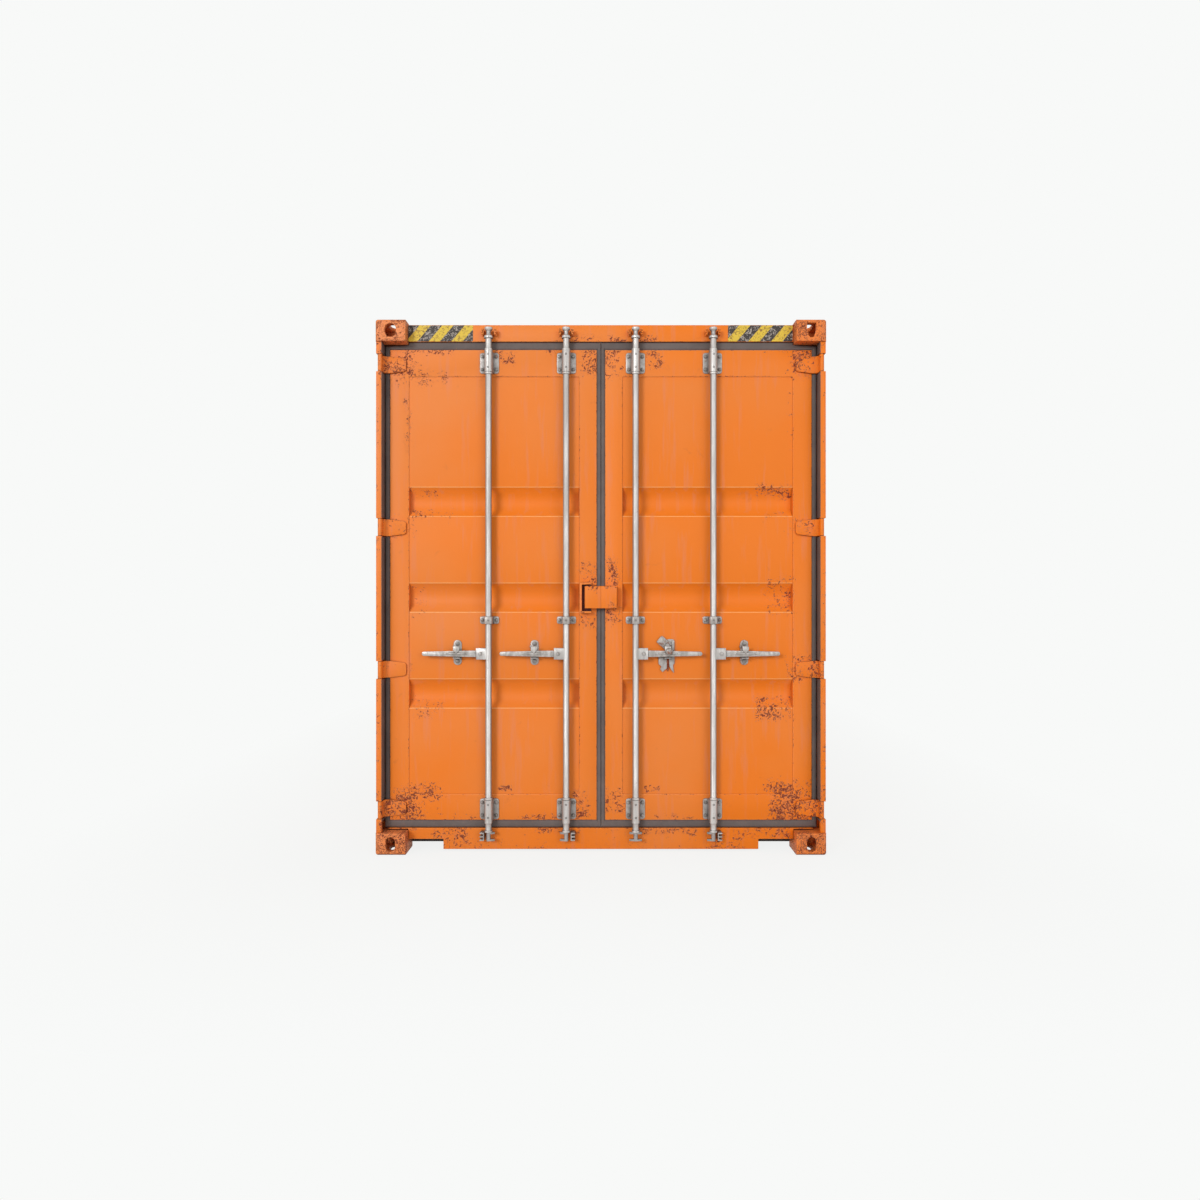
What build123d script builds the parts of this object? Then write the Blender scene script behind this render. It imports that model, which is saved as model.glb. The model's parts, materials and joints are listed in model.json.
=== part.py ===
from build123d import *
import os

# Steel dry-freight container, high-cube, 20 foot. Millimetres.
# X runs right as seen from the door end, Y from the door end to the front wall, Z up.
# The origin is on the ground under the middle of the box.

# Outer size, over the corner castings
LENGTH = 6058.0
WIDTH = 2438.0
HEIGHT = 2896.0

# Corner castings
CASTING_LENGTH = 178.0
CASTING_WIDTH = 162.0
CASTING_HEIGHT = 118.0
CASTING_WALL = 22.0
CASTING_ROUND = 14.0
LOCK_HOLE_LENGTH = 124.0
LOCK_HOLE_WIDTH = 63.5
LOCK_HOLE_FROM_END = 101.5
LOCK_HOLE_FROM_SIDE = 89.0
END_HOLE_WIDTH = 51.0
END_HOLE_HEIGHT = 79.5
WIDE_HOLE_WIDTH = 62.0
WIDE_HOLE_HEIGHT = 74.0
SIDE_HOLE_LENGTH = 79.5
SIDE_HOLE_HEIGHT = 51.0

# Frame
FRAME_INSET = 3.0
GROUND_GAP = 12.5
PLATE = 6.0
DOOR_POST_INSET = 8.0
DOOR_POST_DEPTH = 190.0
DOOR_POST_INNER = 51.0
HEADER_HEIGHT = 91.0
HEADER_DEPTH = 116.0
HEADER_TOP_GAP = 9.0
HEADER_WALL = 4.0
STOP_DROP = 43.0
SILL_HEIGHT = 129.0
SILL_FLANGE = 38.0
SILL_NOTCH_LENGTH = 193.0
SILL_NOTCH_HEIGHT = 55.5
TOP_RAIL_SIZE = 60.0
TOP_RAIL_WALL = 3.0
TOP_RAIL_GAP = 6.0
SIDE_RAIL_HEIGHT = 158.0
SIDE_RAIL_WIDTH = 50.0
SIDE_RAIL_LIP = 30.0
SIDE_RAIL_WALL = 4.5
RAIL_GROUND_GAP = 17.5
FRONT_RAIL_DEPTH = 60.0

# Floor and what carries it
FLOOR_THICKNESS = 28.0
MEMBER_HEIGHT = 122.0
MEMBER_WIDTH = 45.0
MEMBER_WALL = 4.0
MEMBER_PITCH = 300.0
FORK_SPACING = 2050.0
FORK_WIDTH = 360.0
FORK_HEIGHT = 115.0
FORK_STRAP = 200.0

# Corrugated skin
SIDE_SHEET = 2.0
SIDE_DEPTH = 36.0
SIDE_OUTER_FLAT = 72.0
SIDE_INNER_FLAT = 70.0
SIDE_SLOPE = 68.0
FRONT_DEPTH = 45.6
FRONT_OUTER_FLAT = 110.0
FRONT_INNER_FLAT = 104.0
FRONT_SLOPE = 18.0
ROOF_SHEET = 2.0
ROOF_DEPTH = 20.0
ROOF_OUTER_FLAT = 91.0
ROOF_INNER_FLAT = 91.0
ROOF_SLOPE = 13.5
VENT_WIDTH = 230.0
VENT_HEIGHT = 95.0
VENT_DEPTH = 7.0

# Door leaves
DOOR_RECESS = 72.0
LEAF_DEPTH = 50.0
LEAF_SIDE_GAP = 30.0
LEAF_SEAM = 46.0
LEAF_TOP_GAP = 46.0
LEAF_BOTTOM_GAP = 43.5
OUTER_STILE = 104.0
INNER_STILE = 95.0
TOP_RAIL = 146.0
BOTTOM_RAIL = 142.0
STILE_WALL = 4.0
PANEL_SHEET = 2.0
PANEL_RECESS = 6.0
CHANNEL_COUNT = 3
CHANNEL_PITCH = 526.5
CHANNEL_MIDDLE = 1392.0
CHANNEL_DEPTH = 36.0
CHANNEL_FLAT = 86.0
CHANNEL_SLOPE = 37.0

# Door gasket
SEAL_GAP = 6.0
SEAL_CLEARANCE = 5.0
GASKET_RECESS = 3.0
GASKET_SIDE = 25.0
SEAM_LIP_DEPTH = 14.0
SEAM_LIP_CLEARANCE = 2.5
CASTING_CLEARANCE = 6.0

# Hinges
HINGE_HEIGHTS = (241.0, 1000.0, 1774.0, 2665.0)
HINGE_HEIGHT = 91.0
HINGE_PLAY = 3.0
HINGE_INSET = 19.0
HINGE_AXIS_DEPTH = 18.0
KNUCKLE_RADIUS = 11.0
PIN_RADIUS = 7.0
PIN_CLEARANCE = 0.1
PIN_SEAT = 18.0
LUG_WIDTH = 29.0
LUG_DEPTH = 20.0
LUG_NOTCH = 42.0
BLADE_LENGTH = 131.0
BLADE_THICKNESS = 12.0
BLADE_TIP = 68.0
BLADE_ROUND = 17.0

# Lock rods, their places as distances from the seam
INNER_ROD_OFFSET = 189.0
OUTER_ROD_OFFSET = 611.0
ROD_OFFSETS = (-OUTER_ROD_OFFSET, -INNER_ROD_OFFSET, INNER_ROD_OFFSET, OUTER_ROD_OFFSET)
ROD_RADIUS = 17.0
ROD_DEPTH = 32.0
ROD_CLEARANCE = 0.5
COLLAR_RADIUS = 21.5
COLLAR_HEIGHT = 10.5
SLEEVE_RADIUS = 21.0
SLEEVE_HEIGHT = 115.0
BRACKET_WIDTH = 104.0
BRACKET_HEIGHT = 113.0
BRACKET_PLATE = 5.0
BRACKET_ROUND = 12.0
GUIDE_HEIGHT = 40.0
GUIDE_MIDDLE = 1269.0
GUIDE_ROUND = 9.0
BRACKET_PLAY = 1.0
TOP_BRACKET_DROP = 75.0
BOTTOM_BRACKET_RISE = 63.5

# Cams at the rod ends, and their keepers
CAM_WAIST = 12.0
CAM_FLANGE = 24.0
CAM_CAP = 21.5
CAM_HEIGHT = 58.0
CAM_LIP = 10.0
TOP_CAM_RISE = 5.0
BOTTOM_CAM_BASE = 70.0
LOBE_REACH = 34.0
LOBE_TIP = 12.0
LOBE_HEIGHT = 10.0
KEEPER_GAP = 3.0
PRONG = 12.0
PRONG_REACH = 38.0
KEEPER_PLATE = 8.0
TOOTH_WEB = 5.0
TOOTH_LENGTH = 18.5
TOOTH_HEIGHT = 8.0

# Handles
HANDLE_MIDDLE = 1087.0
HANDLE_THICKNESS = 12.0
HANDLE_LENGTH = 318.0
HANDLE_ROOT = 37.0
HANDLE_TIP = 23.0
HANDLE_EYE = 22.0
PIN_OFFSET = 44.0
HUB_LENGTH = 66.0
HUB_HEIGHT = 61.0
HUB_CHEEK = 7.0
HUB_GAP = 13.0
HUB_WEB = 20.0
HUB_PIN = 6.0
HUB_PIN_HEAD = 8.0
HUB_HEAD_HEIGHT = 4.0

# Handle retainers
RETAINER_OFFSET = 175.0
RETAINER_WIDTH = 44.0
RETAINER_HEIGHT = 137.0
RETAINER_PLATE = 5.0
RETAINER_RISE = 4.0
LEDGE_THICKNESS = 5.0
LEDGE_DEPTH = 46.0
LEDGE_GAP = 3.0
NOSE_WIDTH = 34.0
NOSE_HEIGHT = 40.0
NOSE_THICKNESS = 5.0
CATCH_LENGTH = 72.0
CATCH_WIDTH = 46.0
CATCH_THICKNESS = 4.0
CATCH_TILT = 139.0
CATCH_PLAY = 1.0
CATCH_DROP = 10.0
RIVET_RADIUS = 6.0
RIVET_HEAD_RADIUS = 10.0
RIVET_HEAD_HEIGHT = 3.0
LOWER_PLATE_WIDTH = 40.0
LOWER_PLATE_HEIGHT = 86.0
LOWER_PLATE_GAP = 10.0

# Lock box over the seam
BOX_HALF = 88.0
BOX_BOTTOM = 1334.0
BOX_TOP = 1455.0
BOX_DEPTH = 52.0
BOX_WALL = 4.0
BOX_SEAM_GAP = 2.5
BOX_BEVEL = 6.0
CLAMP_OUTER = 115.0
CLAMP_INNER = 52.0
CLAMP_BOTTOM = 1307.0
CLAMP_TOP = 1474.0
CLAMP_BAR = 11.0
CLAMP_DEPTH = 36.0

# Places worked out from the sizes above
DOOR_END = -LENGTH / 2
FRONT_END = LENGTH / 2
SIDE = WIDTH / 2
CASTING_INNER = SIDE - CASTING_WIDTH
POST_OUTER = SIDE - FRAME_INSET
POST_INNER = POST_OUTER - DOOR_POST_INNER
POST_BOTTOM = CASTING_HEIGHT
POST_TOP = HEIGHT - CASTING_HEIGHT
HEADER_TOP = HEIGHT - HEADER_TOP_GAP
HEADER_BOTTOM = HEADER_TOP - HEADER_HEIGHT
LEAF_FACE = DOOR_END + DOOR_RECESS
LEAF_BACK = LEAF_FACE + LEAF_DEPTH
STOP_FACE = LEAF_BACK + SEAL_GAP
LEAF_INNER = LEAF_SEAM / 2
LEAF_OUTER = POST_OUTER - LUG_WIDTH - LEAF_SIDE_GAP
LEAF_TOP = HEADER_BOTTOM - LEAF_TOP_GAP
LEAF_BOTTOM = SILL_HEIGHT + LEAF_BOTTOM_GAP
PANEL_FACE = LEAF_FACE + PANEL_RECESS
HINGE_X = POST_OUTER - HINGE_INSET
HINGE_Y = DOOR_END + HINGE_AXIS_DEPTH
ROD_Y = DOOR_END + ROD_DEPTH
RAIL_OUTER = SIDE - 2 * FRAME_INSET
RAIL_TOP = RAIL_GROUND_GAP + SIDE_RAIL_HEIGHT
FLOOR_BOTTOM = RAIL_GROUND_GAP + MEMBER_HEIGHT
FLOOR_TOP = FLOOR_BOTTOM + FLOOR_THICKNESS
ROOF_TOP = HEIGHT - TOP_RAIL_GAP
TOP_RAIL_BOTTOM = ROOF_TOP - TOP_RAIL_SIZE
WALL_START = DOOR_END + DOOR_POST_DEPTH
WALL_END = FRONT_END - CASTING_LENGTH


def block(x0, x1, y0, y1, z0, z1):
    """A plain box between two corners."""
    size = (abs(x1 - x0), abs(y1 - y0), abs(z1 - z0))
    return Pos((x0 + x1) / 2, (y0 + y1) / 2, (z0 + z1) / 2) * Box(*size)


def along_x(points, x0, x1):
    """A (y, z) outline drawn out along X."""
    return extrude(Plane.YZ.offset(x0) * make_face(Polyline(*points, close=True)), x1 - x0)


def along_y(points, y0, y1):
    """An (x, z) outline drawn out along Y."""
    plane = Plane(origin=(0, y1, 0), x_dir=(1, 0, 0), z_dir=(0, -1, 0))
    return extrude(plane * make_face(Polyline(*points, close=True)), y1 - y0)


def along_z(points, z0, z1):
    """An (x, y) outline drawn out along Z."""
    return extrude(Plane.XY.offset(z0) * make_face(Polyline(*points, close=True)), z1 - z0)


def rod(x, y, z0, z1, radius, top_radius=None):
    """An upright round bar, or a cone when the top radius is given."""
    height = z1 - z0
    if top_radius is None:
        return Pos(x, y, (z0 + z1) / 2) * Cylinder(radius, height)
    return Pos(x, y, (z0 + z1) / 2) * Cone(radius, top_radius, height)


def pin_along_y(x, y0, y1, z, radius):
    """A round bar that lies along Y."""
    return Pos(x, (y0 + y1) / 2, z) * Rot(90, 0, 0) * Cylinder(radius, abs(y1 - y0))


def face_plane(x, y, z):
    """A sketch plane that faces the door end, X to the right and Z up."""
    return Plane(origin=(x, y, z), x_dir=(1, 0, 0), z_dir=(0, -1, 0))


def round_plate(x, z, width, height, radius, y0, y1):
    """An upright plate with round corners, from y0 at the front to y1 at the back."""
    return extrude(face_plane(x, y1, z) * RectangleRounded(width, height, radius), y1 - y0)


def mirrored(shape):
    """The same shape on the other side of the middle."""
    return mirror(shape, about=Plane.YZ)


def save(name, *solids):
    """Write one sub-part, as one solid or as several that don't touch."""
    shape = solids[0] if len(solids) == 1 else Compound(children=list(solids))
    shape.label = name
    export_step(shape, f"parts/{name}.step")


def wave(start, end, outer, inner, slope):
    """Stations of a trapezoid wave centred between two edges, as (place, is it sunk)."""
    pitch = outer + inner + 2 * slope
    count = int((end - start - outer) // pitch)
    first = (start + end - count * pitch) / 2
    stations = [(start, False)]
    for i in range(count):
        base = first + i * pitch + outer / 2
        stations += [(base, False), (base + slope, True)]
        stations += [(base + slope + inner, True), (base + 2 * slope + inner, False)]
    return stations + [(end, False)]


def sheet(stations, level, sunk, thickness):
    """A folded sheet's outline: its outer side, and the same line moved in by the thickness."""
    side = 1 if sunk > level else -1
    outer = [(place, sunk if low else level) for place, low in stations]
    inner = [(place, depth + side * thickness) for place, depth in reversed(outer)]
    return outer + inner


def end_hole(kind):
    """The outline of a casting's end hole: upright oval, wide oval, or flat-topped shield."""
    if kind == "oval":
        return Rot(0, 0, 90) * SlotOverall(END_HOLE_HEIGHT, END_HOLE_WIDTH)
    if kind == "wide":
        return Rot(0, 0, 90) * SlotOverall(WIDE_HOLE_HEIGHT, WIDE_HOLE_WIDTH)
    half, half_height = END_HOLE_WIDTH / 2, END_HOLE_HEIGHT / 2
    lower = half * 0.7
    outline = Polyline((-half, 0), (-half, half_height), (half, half_height), (half, 0))
    outline += Line((half, 0), (lower, lower - half_height))
    outline += ThreePointArc((lower, lower - half_height), (0, -half_height),
                             (-lower, lower - half_height))
    outline += Line((-lower, lower - half_height), (-half, 0))
    return make_face(outline)


def casting(x_sign, y_sign, z_sign, hole):
    """One corner casting, hollow, with its lock hole, end hole and side hole."""
    x_out, y_out = x_sign * SIDE, y_sign * LENGTH / 2
    z_out = HEIGHT if z_sign > 0 else 0.0
    x_in = x_out - x_sign * CASTING_WIDTH
    y_in = y_out - y_sign * CASTING_LENGTH
    z_in = z_out - z_sign * CASTING_HEIGHT
    body = block(x_in, x_out, y_in, y_out, z_in, z_out)
    corner = (x_out, y_out, z_out)
    rounded = []
    for edge in body.edges():
        middle = edge @ 0.5
        hits = sum(abs(a - b) < 0.01 for a, b in zip(tuple(middle), corner))
        if hits == 2:
            rounded.append(edge)
    body = fillet(rounded, CASTING_ROUND)
    mid_x, mid_y, mid_z = (x_in + x_out) / 2, (y_in + y_out) / 2, (z_in + z_out) / 2
    hollow = (CASTING_WIDTH, CASTING_LENGTH, CASTING_HEIGHT)
    body -= Pos(mid_x, mid_y, mid_z) * Box(*[size - 2 * CASTING_WALL for size in hollow])
    hole_x = x_out - x_sign * LOCK_HOLE_FROM_SIDE
    hole_y = y_out - y_sign * LOCK_HOLE_FROM_END
    lock_hole = Rot(0, 0, 90) * SlotOverall(LOCK_HOLE_LENGTH, LOCK_HOLE_WIDTH)
    body -= extrude(Pos(hole_x, hole_y, mid_z) * lock_hole, z_sign * CASTING_HEIGHT)
    end_plane = face_plane(mid_x, mid_y, mid_z)
    body -= extrude(end_plane * end_hole(hole), -y_sign * CASTING_LENGTH)
    side_plane = Plane(origin=(mid_x, hole_y, mid_z), x_dir=(0, 1, 0), z_dir=(1, 0, 0))
    side_hole = SlotOverall(SIDE_HOLE_LENGTH, SIDE_HOLE_HEIGHT)
    body -= extrude(side_plane * side_hole, x_sign * CASTING_WIDTH)
    return body


def castings(y_sign):
    """The four castings of one end. The door end's two top ones have end holes of their own."""
    corners = [(-1, -1), (1, -1), (-1, 1), (1, 1)]
    holes = ("oval", "oval", "wide", "shield") if y_sign < 0 else ("oval",) * len(corners)
    return [casting(x, y_sign, z, hole) for (x, z), hole in zip(corners, holes)]


def door_post():
    """The right post of the door end: lug bar, side plate and the box that the door shuts on."""
    z0, z1 = POST_BOTTOM, POST_TOP
    front = DOOR_END + DOOR_POST_INSET
    back = DOOR_END + DOOR_POST_DEPTH
    inside = POST_OUTER - PLATE
    post = block(POST_OUTER - LUG_WIDTH, POST_OUTER, front, front + LUG_DEPTH, z0, z1)
    post += block(inside, POST_OUTER, front, back, z0, z1)
    post += block(POST_INNER, inside, STOP_FACE, STOP_FACE + PLATE, z0, z1)
    post += block(POST_INNER, POST_INNER + PLATE, STOP_FACE, back, z0, z1)
    post += block(POST_INNER, inside, back - PLATE, back, z0, z1)
    for height in HINGE_HEIGHTS:
        half = HINGE_HEIGHT / 2 + HINGE_PLAY
        post -= block(POST_OUTER - LUG_WIDTH - 1, POST_OUTER + 1, front - 1,
                      DOOR_END + LUG_NOTCH, height - half, height + half)
        post -= rod(HINGE_X, HINGE_Y, height - half - PIN_SEAT, height + half + PIN_SEAT, PIN_RADIUS)
    return post


def hinge_pins():
    """Four pins, each seated in the lug bar above and below its notch."""
    half = HINGE_HEIGHT / 2 + HINGE_PLAY + PIN_SEAT
    return [rod(HINGE_X, HINGE_Y, z - half, z + half, PIN_RADIUS) for z in HINGE_HEIGHTS]


def front_post():
    """The right post of the front end, a folded section open to the inside."""
    z0, z1 = POST_BOTTOM, POST_TOP
    face = FRONT_END - FRAME_INSET
    inner = CASTING_INNER
    post = block(POST_OUTER - PLATE, POST_OUTER, WALL_END, face, z0, z1)
    post += block(inner, POST_OUTER - PLATE, face - PLATE, face, z0, z1)
    lip = FRONT_DEPTH + PLATE
    post += block(inner, inner + PLATE, face - lip, face - PLATE, z0, z1)
    post += block(POST_OUTER - SIDE_DEPTH - 2 * PLATE, POST_OUTER - PLATE, WALL_END,
                  WALL_END + PLATE, z0, z1)
    return post


def door_header():
    """The beam over the doors, a tube with a stop that hangs behind the leaves."""
    y0, y1 = LEAF_FACE, LEAF_FACE + HEADER_DEPTH
    wall = HEADER_WALL
    beam = block(-CASTING_INNER, CASTING_INNER, y0, y1, HEADER_BOTTOM, HEADER_TOP)
    beam -= block(-CASTING_INNER, CASTING_INNER, y0 + wall, y1 - wall,
                  HEADER_BOTTOM + wall, HEADER_TOP - wall)
    low = HEADER_BOTTOM - STOP_DROP
    beam += block(-POST_INNER, POST_INNER, STOP_FACE, STOP_FACE + PLATE, low, POST_TOP)
    beam += block(-CASTING_INNER, CASTING_INNER, STOP_FACE, STOP_FACE + PLATE,
                  POST_TOP, HEADER_BOTTOM)
    return beam


def door_sill():
    """The folded sill: bottom flange, face, step for the doors, riser and threshold."""
    back = DOOR_END + DOOR_POST_DEPTH
    face_back = LEAF_FACE + PLATE
    sill = block(-CASTING_INNER, CASTING_INNER, LEAF_FACE, face_back, GROUND_GAP, SILL_HEIGHT)
    for side in (-1, 1):
        inner = side * (CASTING_INNER - SILL_NOTCH_LENGTH)
        outer = side * CASTING_INNER
        top = GROUND_GAP + SILL_NOTCH_HEIGHT
        sill -= block(inner, outer, LEAF_FACE, face_back, GROUND_GAP, top)
        sill += block(inner, outer, face_back, LEAF_FACE + SILL_FLANGE, top, top + PLATE)
        sill += block(inner, inner - side * PLATE, face_back, LEAF_FACE + SILL_FLANGE,
                      GROUND_GAP, top + PLATE)
    inner = CASTING_INNER - SILL_NOTCH_LENGTH
    sill += block(-inner, inner, face_back, LEAF_FACE + SILL_FLANGE, GROUND_GAP, GROUND_GAP + PLATE)
    under = SILL_HEIGHT - PLATE
    sill += block(-POST_INNER, POST_INNER, LEAF_FACE, STOP_FACE + PLATE, under, SILL_HEIGHT)
    sill += block(-POST_INNER, POST_INNER, STOP_FACE, STOP_FACE + PLATE, SILL_HEIGHT, FLOOR_TOP)
    sill += block(-POST_INNER, POST_INNER, STOP_FACE + PLATE, back, FLOOR_TOP - PLATE, FLOOR_TOP)
    return sill


def front_top_rail():
    """The square tube along the top of the front wall, with a flat plate back to the roof."""
    face = FRONT_END - FRAME_INSET
    wall = TOP_RAIL_WALL
    inner = CASTING_INNER
    rail = block(-inner, inner, face - FRONT_RAIL_DEPTH, face, TOP_RAIL_BOTTOM, ROOF_TOP)
    rail -= block(-inner, inner, face - FRONT_RAIL_DEPTH + wall, face - wall,
                  TOP_RAIL_BOTTOM + wall, ROOF_TOP - wall)
    return rail + block(-inner, inner, WALL_END, face - FRONT_RAIL_DEPTH, ROOF_TOP - wall, ROOF_TOP)


def front_bottom_rail():
    """The rail along the foot of the front wall, a channel open to the inside."""
    face = FRONT_END - FRAME_INSET
    rail = block(-CASTING_INNER, CASTING_INNER, face - FRONT_RAIL_DEPTH, face,
                 RAIL_GROUND_GAP, RAIL_TOP)
    return rail - block(-CASTING_INNER, CASTING_INNER, face - FRONT_RAIL_DEPTH, face - PLATE,
                        RAIL_GROUND_GAP + PLATE, RAIL_TOP - PLATE)


def top_side_rail():
    """The right square tube along the top of the side wall."""
    y0, y1 = DOOR_END + CASTING_LENGTH, FRONT_END - CASTING_LENGTH
    x0, x1 = RAIL_OUTER - TOP_RAIL_SIZE, RAIL_OUTER
    wall = TOP_RAIL_WALL
    rail = block(x0, x1, y0, y1, TOP_RAIL_BOTTOM, ROOF_TOP)
    return rail - block(x0 + wall, x1 - wall, y0, y1, TOP_RAIL_BOTTOM + wall, ROOF_TOP - wall)


def bottom_side_rail():
    """The right rail along the foot of the side wall, with its two fork openings."""
    y0, y1 = DOOR_END + CASTING_LENGTH, FRONT_END - CASTING_LENGTH
    wall = SIDE_RAIL_WALL
    outline = [
        (RAIL_OUTER, RAIL_GROUND_GAP), (RAIL_OUTER, RAIL_TOP),
        (RAIL_OUTER - SIDE_RAIL_WIDTH, RAIL_TOP), (RAIL_OUTER - SIDE_RAIL_WIDTH, RAIL_TOP - wall),
        (RAIL_OUTER - wall, RAIL_TOP - wall), (RAIL_OUTER - wall, RAIL_GROUND_GAP + wall),
        (RAIL_OUTER - SIDE_RAIL_LIP, RAIL_GROUND_GAP + wall),
        (RAIL_OUTER - SIDE_RAIL_LIP, RAIL_GROUND_GAP),
    ]
    rail = along_y(outline, y0, y1)
    rail -= block(RAIL_OUTER - SIDE_RAIL_WIDTH, RAIL_OUTER, y0, DOOR_END + DOOR_POST_DEPTH,
                  POST_BOTTOM, RAIL_TOP)
    for middle in (-FORK_SPACING / 2, FORK_SPACING / 2):
        rail -= block(RAIL_OUTER - SIDE_RAIL_WIDTH, RAIL_OUTER,
                      middle - FORK_WIDTH / 2, middle + FORK_WIDTH / 2,
                      RAIL_GROUND_GAP + wall, RAIL_GROUND_GAP + wall + FORK_HEIGHT)
    return rail


def side_wall():
    """The right side wall, its folds upright."""
    stations = wave(WALL_START, WALL_END, SIDE_OUTER_FLAT, SIDE_INNER_FLAT, SIDE_SLOPE)
    level = RAIL_OUTER - SIDE_SHEET
    outline = sheet(stations, level, level - SIDE_DEPTH, SIDE_SHEET)
    return along_z([(x, y) for y, x in outline], RAIL_TOP, TOP_RAIL_BOTTOM)


def front_wall():
    """The front wall, its folds upright."""
    half = CASTING_INNER
    stations = wave(-half, half, FRONT_OUTER_FLAT, FRONT_INNER_FLAT, FRONT_SLOPE)
    level = FRONT_END - FRAME_INSET - PLATE
    outline = sheet(stations, level, level - FRONT_DEPTH, SIDE_SHEET)
    return along_z(outline, RAIL_TOP, TOP_RAIL_BOTTOM)


def roof_panel():
    """The roof sheet, with shallow troughs that run across."""
    start = LEAF_FACE + HEADER_DEPTH
    end = WALL_END
    stations = wave(start, end, ROOF_OUTER_FLAT, ROOF_INNER_FLAT, ROOF_SLOPE)
    outline = sheet(stations, ROOF_TOP, ROOF_TOP - ROOF_DEPTH, ROOF_SHEET)
    return along_x(outline, -RAIL_OUTER + TOP_RAIL_SIZE, RAIL_OUTER - TOP_RAIL_SIZE)


def wall_vent():
    """A small louvred cover high on the right side wall."""
    x0 = RAIL_OUTER - SIDE_SHEET
    middle = WALL_END - VENT_WIDTH * 3
    top = TOP_RAIL_BOTTOM - VENT_HEIGHT / 2
    return block(x0, x0 + VENT_DEPTH, middle, middle + VENT_WIDTH, top - VENT_HEIGHT, top)


def floor_boards():
    """The plywood floor, between the threshold and the front wall."""
    end = FRONT_END - FRAME_INSET - FRONT_RAIL_DEPTH
    half = RAIL_OUTER - SIDE_RAIL_WIDTH
    return block(-half, half, DOOR_END + DOOR_POST_DEPTH, end, FLOOR_BOTTOM, FLOOR_TOP)


def cross_members():
    """The channels under the floor, left out where the fork pockets run."""
    start = DOOR_END + DOOR_POST_DEPTH
    end = WALL_END
    count = int((end - start) // MEMBER_PITCH)
    pitch = (end - start - MEMBER_WIDTH) / count
    half = RAIL_OUTER - SIDE_RAIL_WALL
    z0, z1 = RAIL_GROUND_GAP, FLOOR_BOTTOM
    members = []
    for i in range(count + 1):
        y = start + i * pitch
        near = min(abs(y + MEMBER_WIDTH / 2 - m) for m in (-FORK_SPACING / 2, FORK_SPACING / 2))
        if near < FORK_WIDTH / 2 + MEMBER_WIDTH:
            continue
        member = block(-half, half, y, y + MEMBER_WIDTH, z0 + SIDE_RAIL_WALL, z1)
        member -= block(-half, half, y + MEMBER_WALL, y + MEMBER_WIDTH,
                        z0 + SIDE_RAIL_WALL + MEMBER_WALL, z1 - MEMBER_WALL)
        members.append(member)
    return members


def fork_pocket(middle):
    """A pocket for a lift truck's fork, across the box, its floor cut away between the straps."""
    half = RAIL_OUTER - SIDE_RAIL_WALL
    z0 = RAIL_GROUND_GAP + SIDE_RAIL_WALL
    y0, y1 = middle - FORK_WIDTH / 2, middle + FORK_WIDTH / 2
    wall = MEMBER_WALL
    pocket = block(-half, half, y0 - wall, y1 + wall, z0 - wall, FLOOR_BOTTOM)
    pocket -= block(-half, half, y0, y1, z0, z0 + FORK_HEIGHT)
    pocket -= block(-half + FORK_STRAP, half - FORK_STRAP, y0, y1, z0 - wall, z0)
    pocket -= block(-half, -half + SIDE_RAIL_LIP, y0 - wall, y1 + wall, z0 - wall, z0)
    pocket -= block(half - SIDE_RAIL_LIP, half, y0 - wall, y1 + wall, z0 - wall, z0)
    return pocket


def leaf_frame():
    """The right leaf's frame of hollow stiles and rails."""
    y0, y1 = LEAF_FACE, LEAF_BACK
    x0, x1, z0, z1 = LEAF_INNER, LEAF_OUTER, LEAF_BOTTOM, LEAF_TOP
    open_x0, open_x1 = x0 + INNER_STILE, x1 - OUTER_STILE
    open_z0, open_z1 = z0 + BOTTOM_RAIL, z1 - TOP_RAIL
    wall = STILE_WALL
    frame = block(x0, x1, y0, y1, z0, z1) - block(open_x0, open_x1, y0, y1, open_z0, open_z1)
    hollow = block(x0 + wall, x1 - wall, y0 + wall, y1 - wall, z0 + wall, z1 - wall)
    hollow -= block(open_x0 - wall, open_x1 + wall, y0, y1, open_z0 - wall, open_z1 + wall)
    return frame - hollow


def leaf_panel():
    """The right leaf's sheet, with its recessed channels across."""
    z0, z1 = LEAF_BOTTOM + BOTTOM_RAIL, LEAF_TOP - TOP_RAIL
    stations = [(z0, False)]
    for i in range(CHANNEL_COUNT):
        middle = CHANNEL_MIDDLE + (i - (CHANNEL_COUNT - 1) / 2) * CHANNEL_PITCH
        half = CHANNEL_FLAT / 2
        stations += [(middle - half - CHANNEL_SLOPE, False), (middle - half, True)]
        stations += [(middle + half, True), (middle + half + CHANNEL_SLOPE, False)]
    stations.append((z1, False))
    outline = sheet(stations, PANEL_FACE, PANEL_FACE + CHANNEL_DEPTH, PANEL_SHEET)
    return along_x([(y, z) for z, y in outline], LEAF_INNER + INNER_STILE, LEAF_OUTER - OUTER_STILE)


def leaf_gasket():
    """The right leaf's rubber seal, a ring about the frame."""
    y0, y1 = LEAF_FACE + GASKET_RECESS, LEAF_BACK
    outer, inner = LEAF_OUTER + GASKET_SIDE, SEAL_CLEARANCE
    low = SILL_HEIGHT + SEAL_CLEARANCE
    ring = block(inner, outer, y0, y1, low, POST_TOP - CASTING_CLEARANCE)
    high = HEADER_BOTTOM - SEAL_CLEARANCE
    ring += block(inner, CASTING_INNER - CASTING_CLEARANCE, y0, y1, POST_TOP - CASTING_CLEARANCE, high)
    ring += block(SEAM_LIP_CLEARANCE, inner, y0, y0 + SEAM_LIP_DEPTH, low, high)
    return ring - block(LEAF_INNER, LEAF_OUTER, y0, y1, LEAF_BOTTOM, LEAF_TOP)


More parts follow.
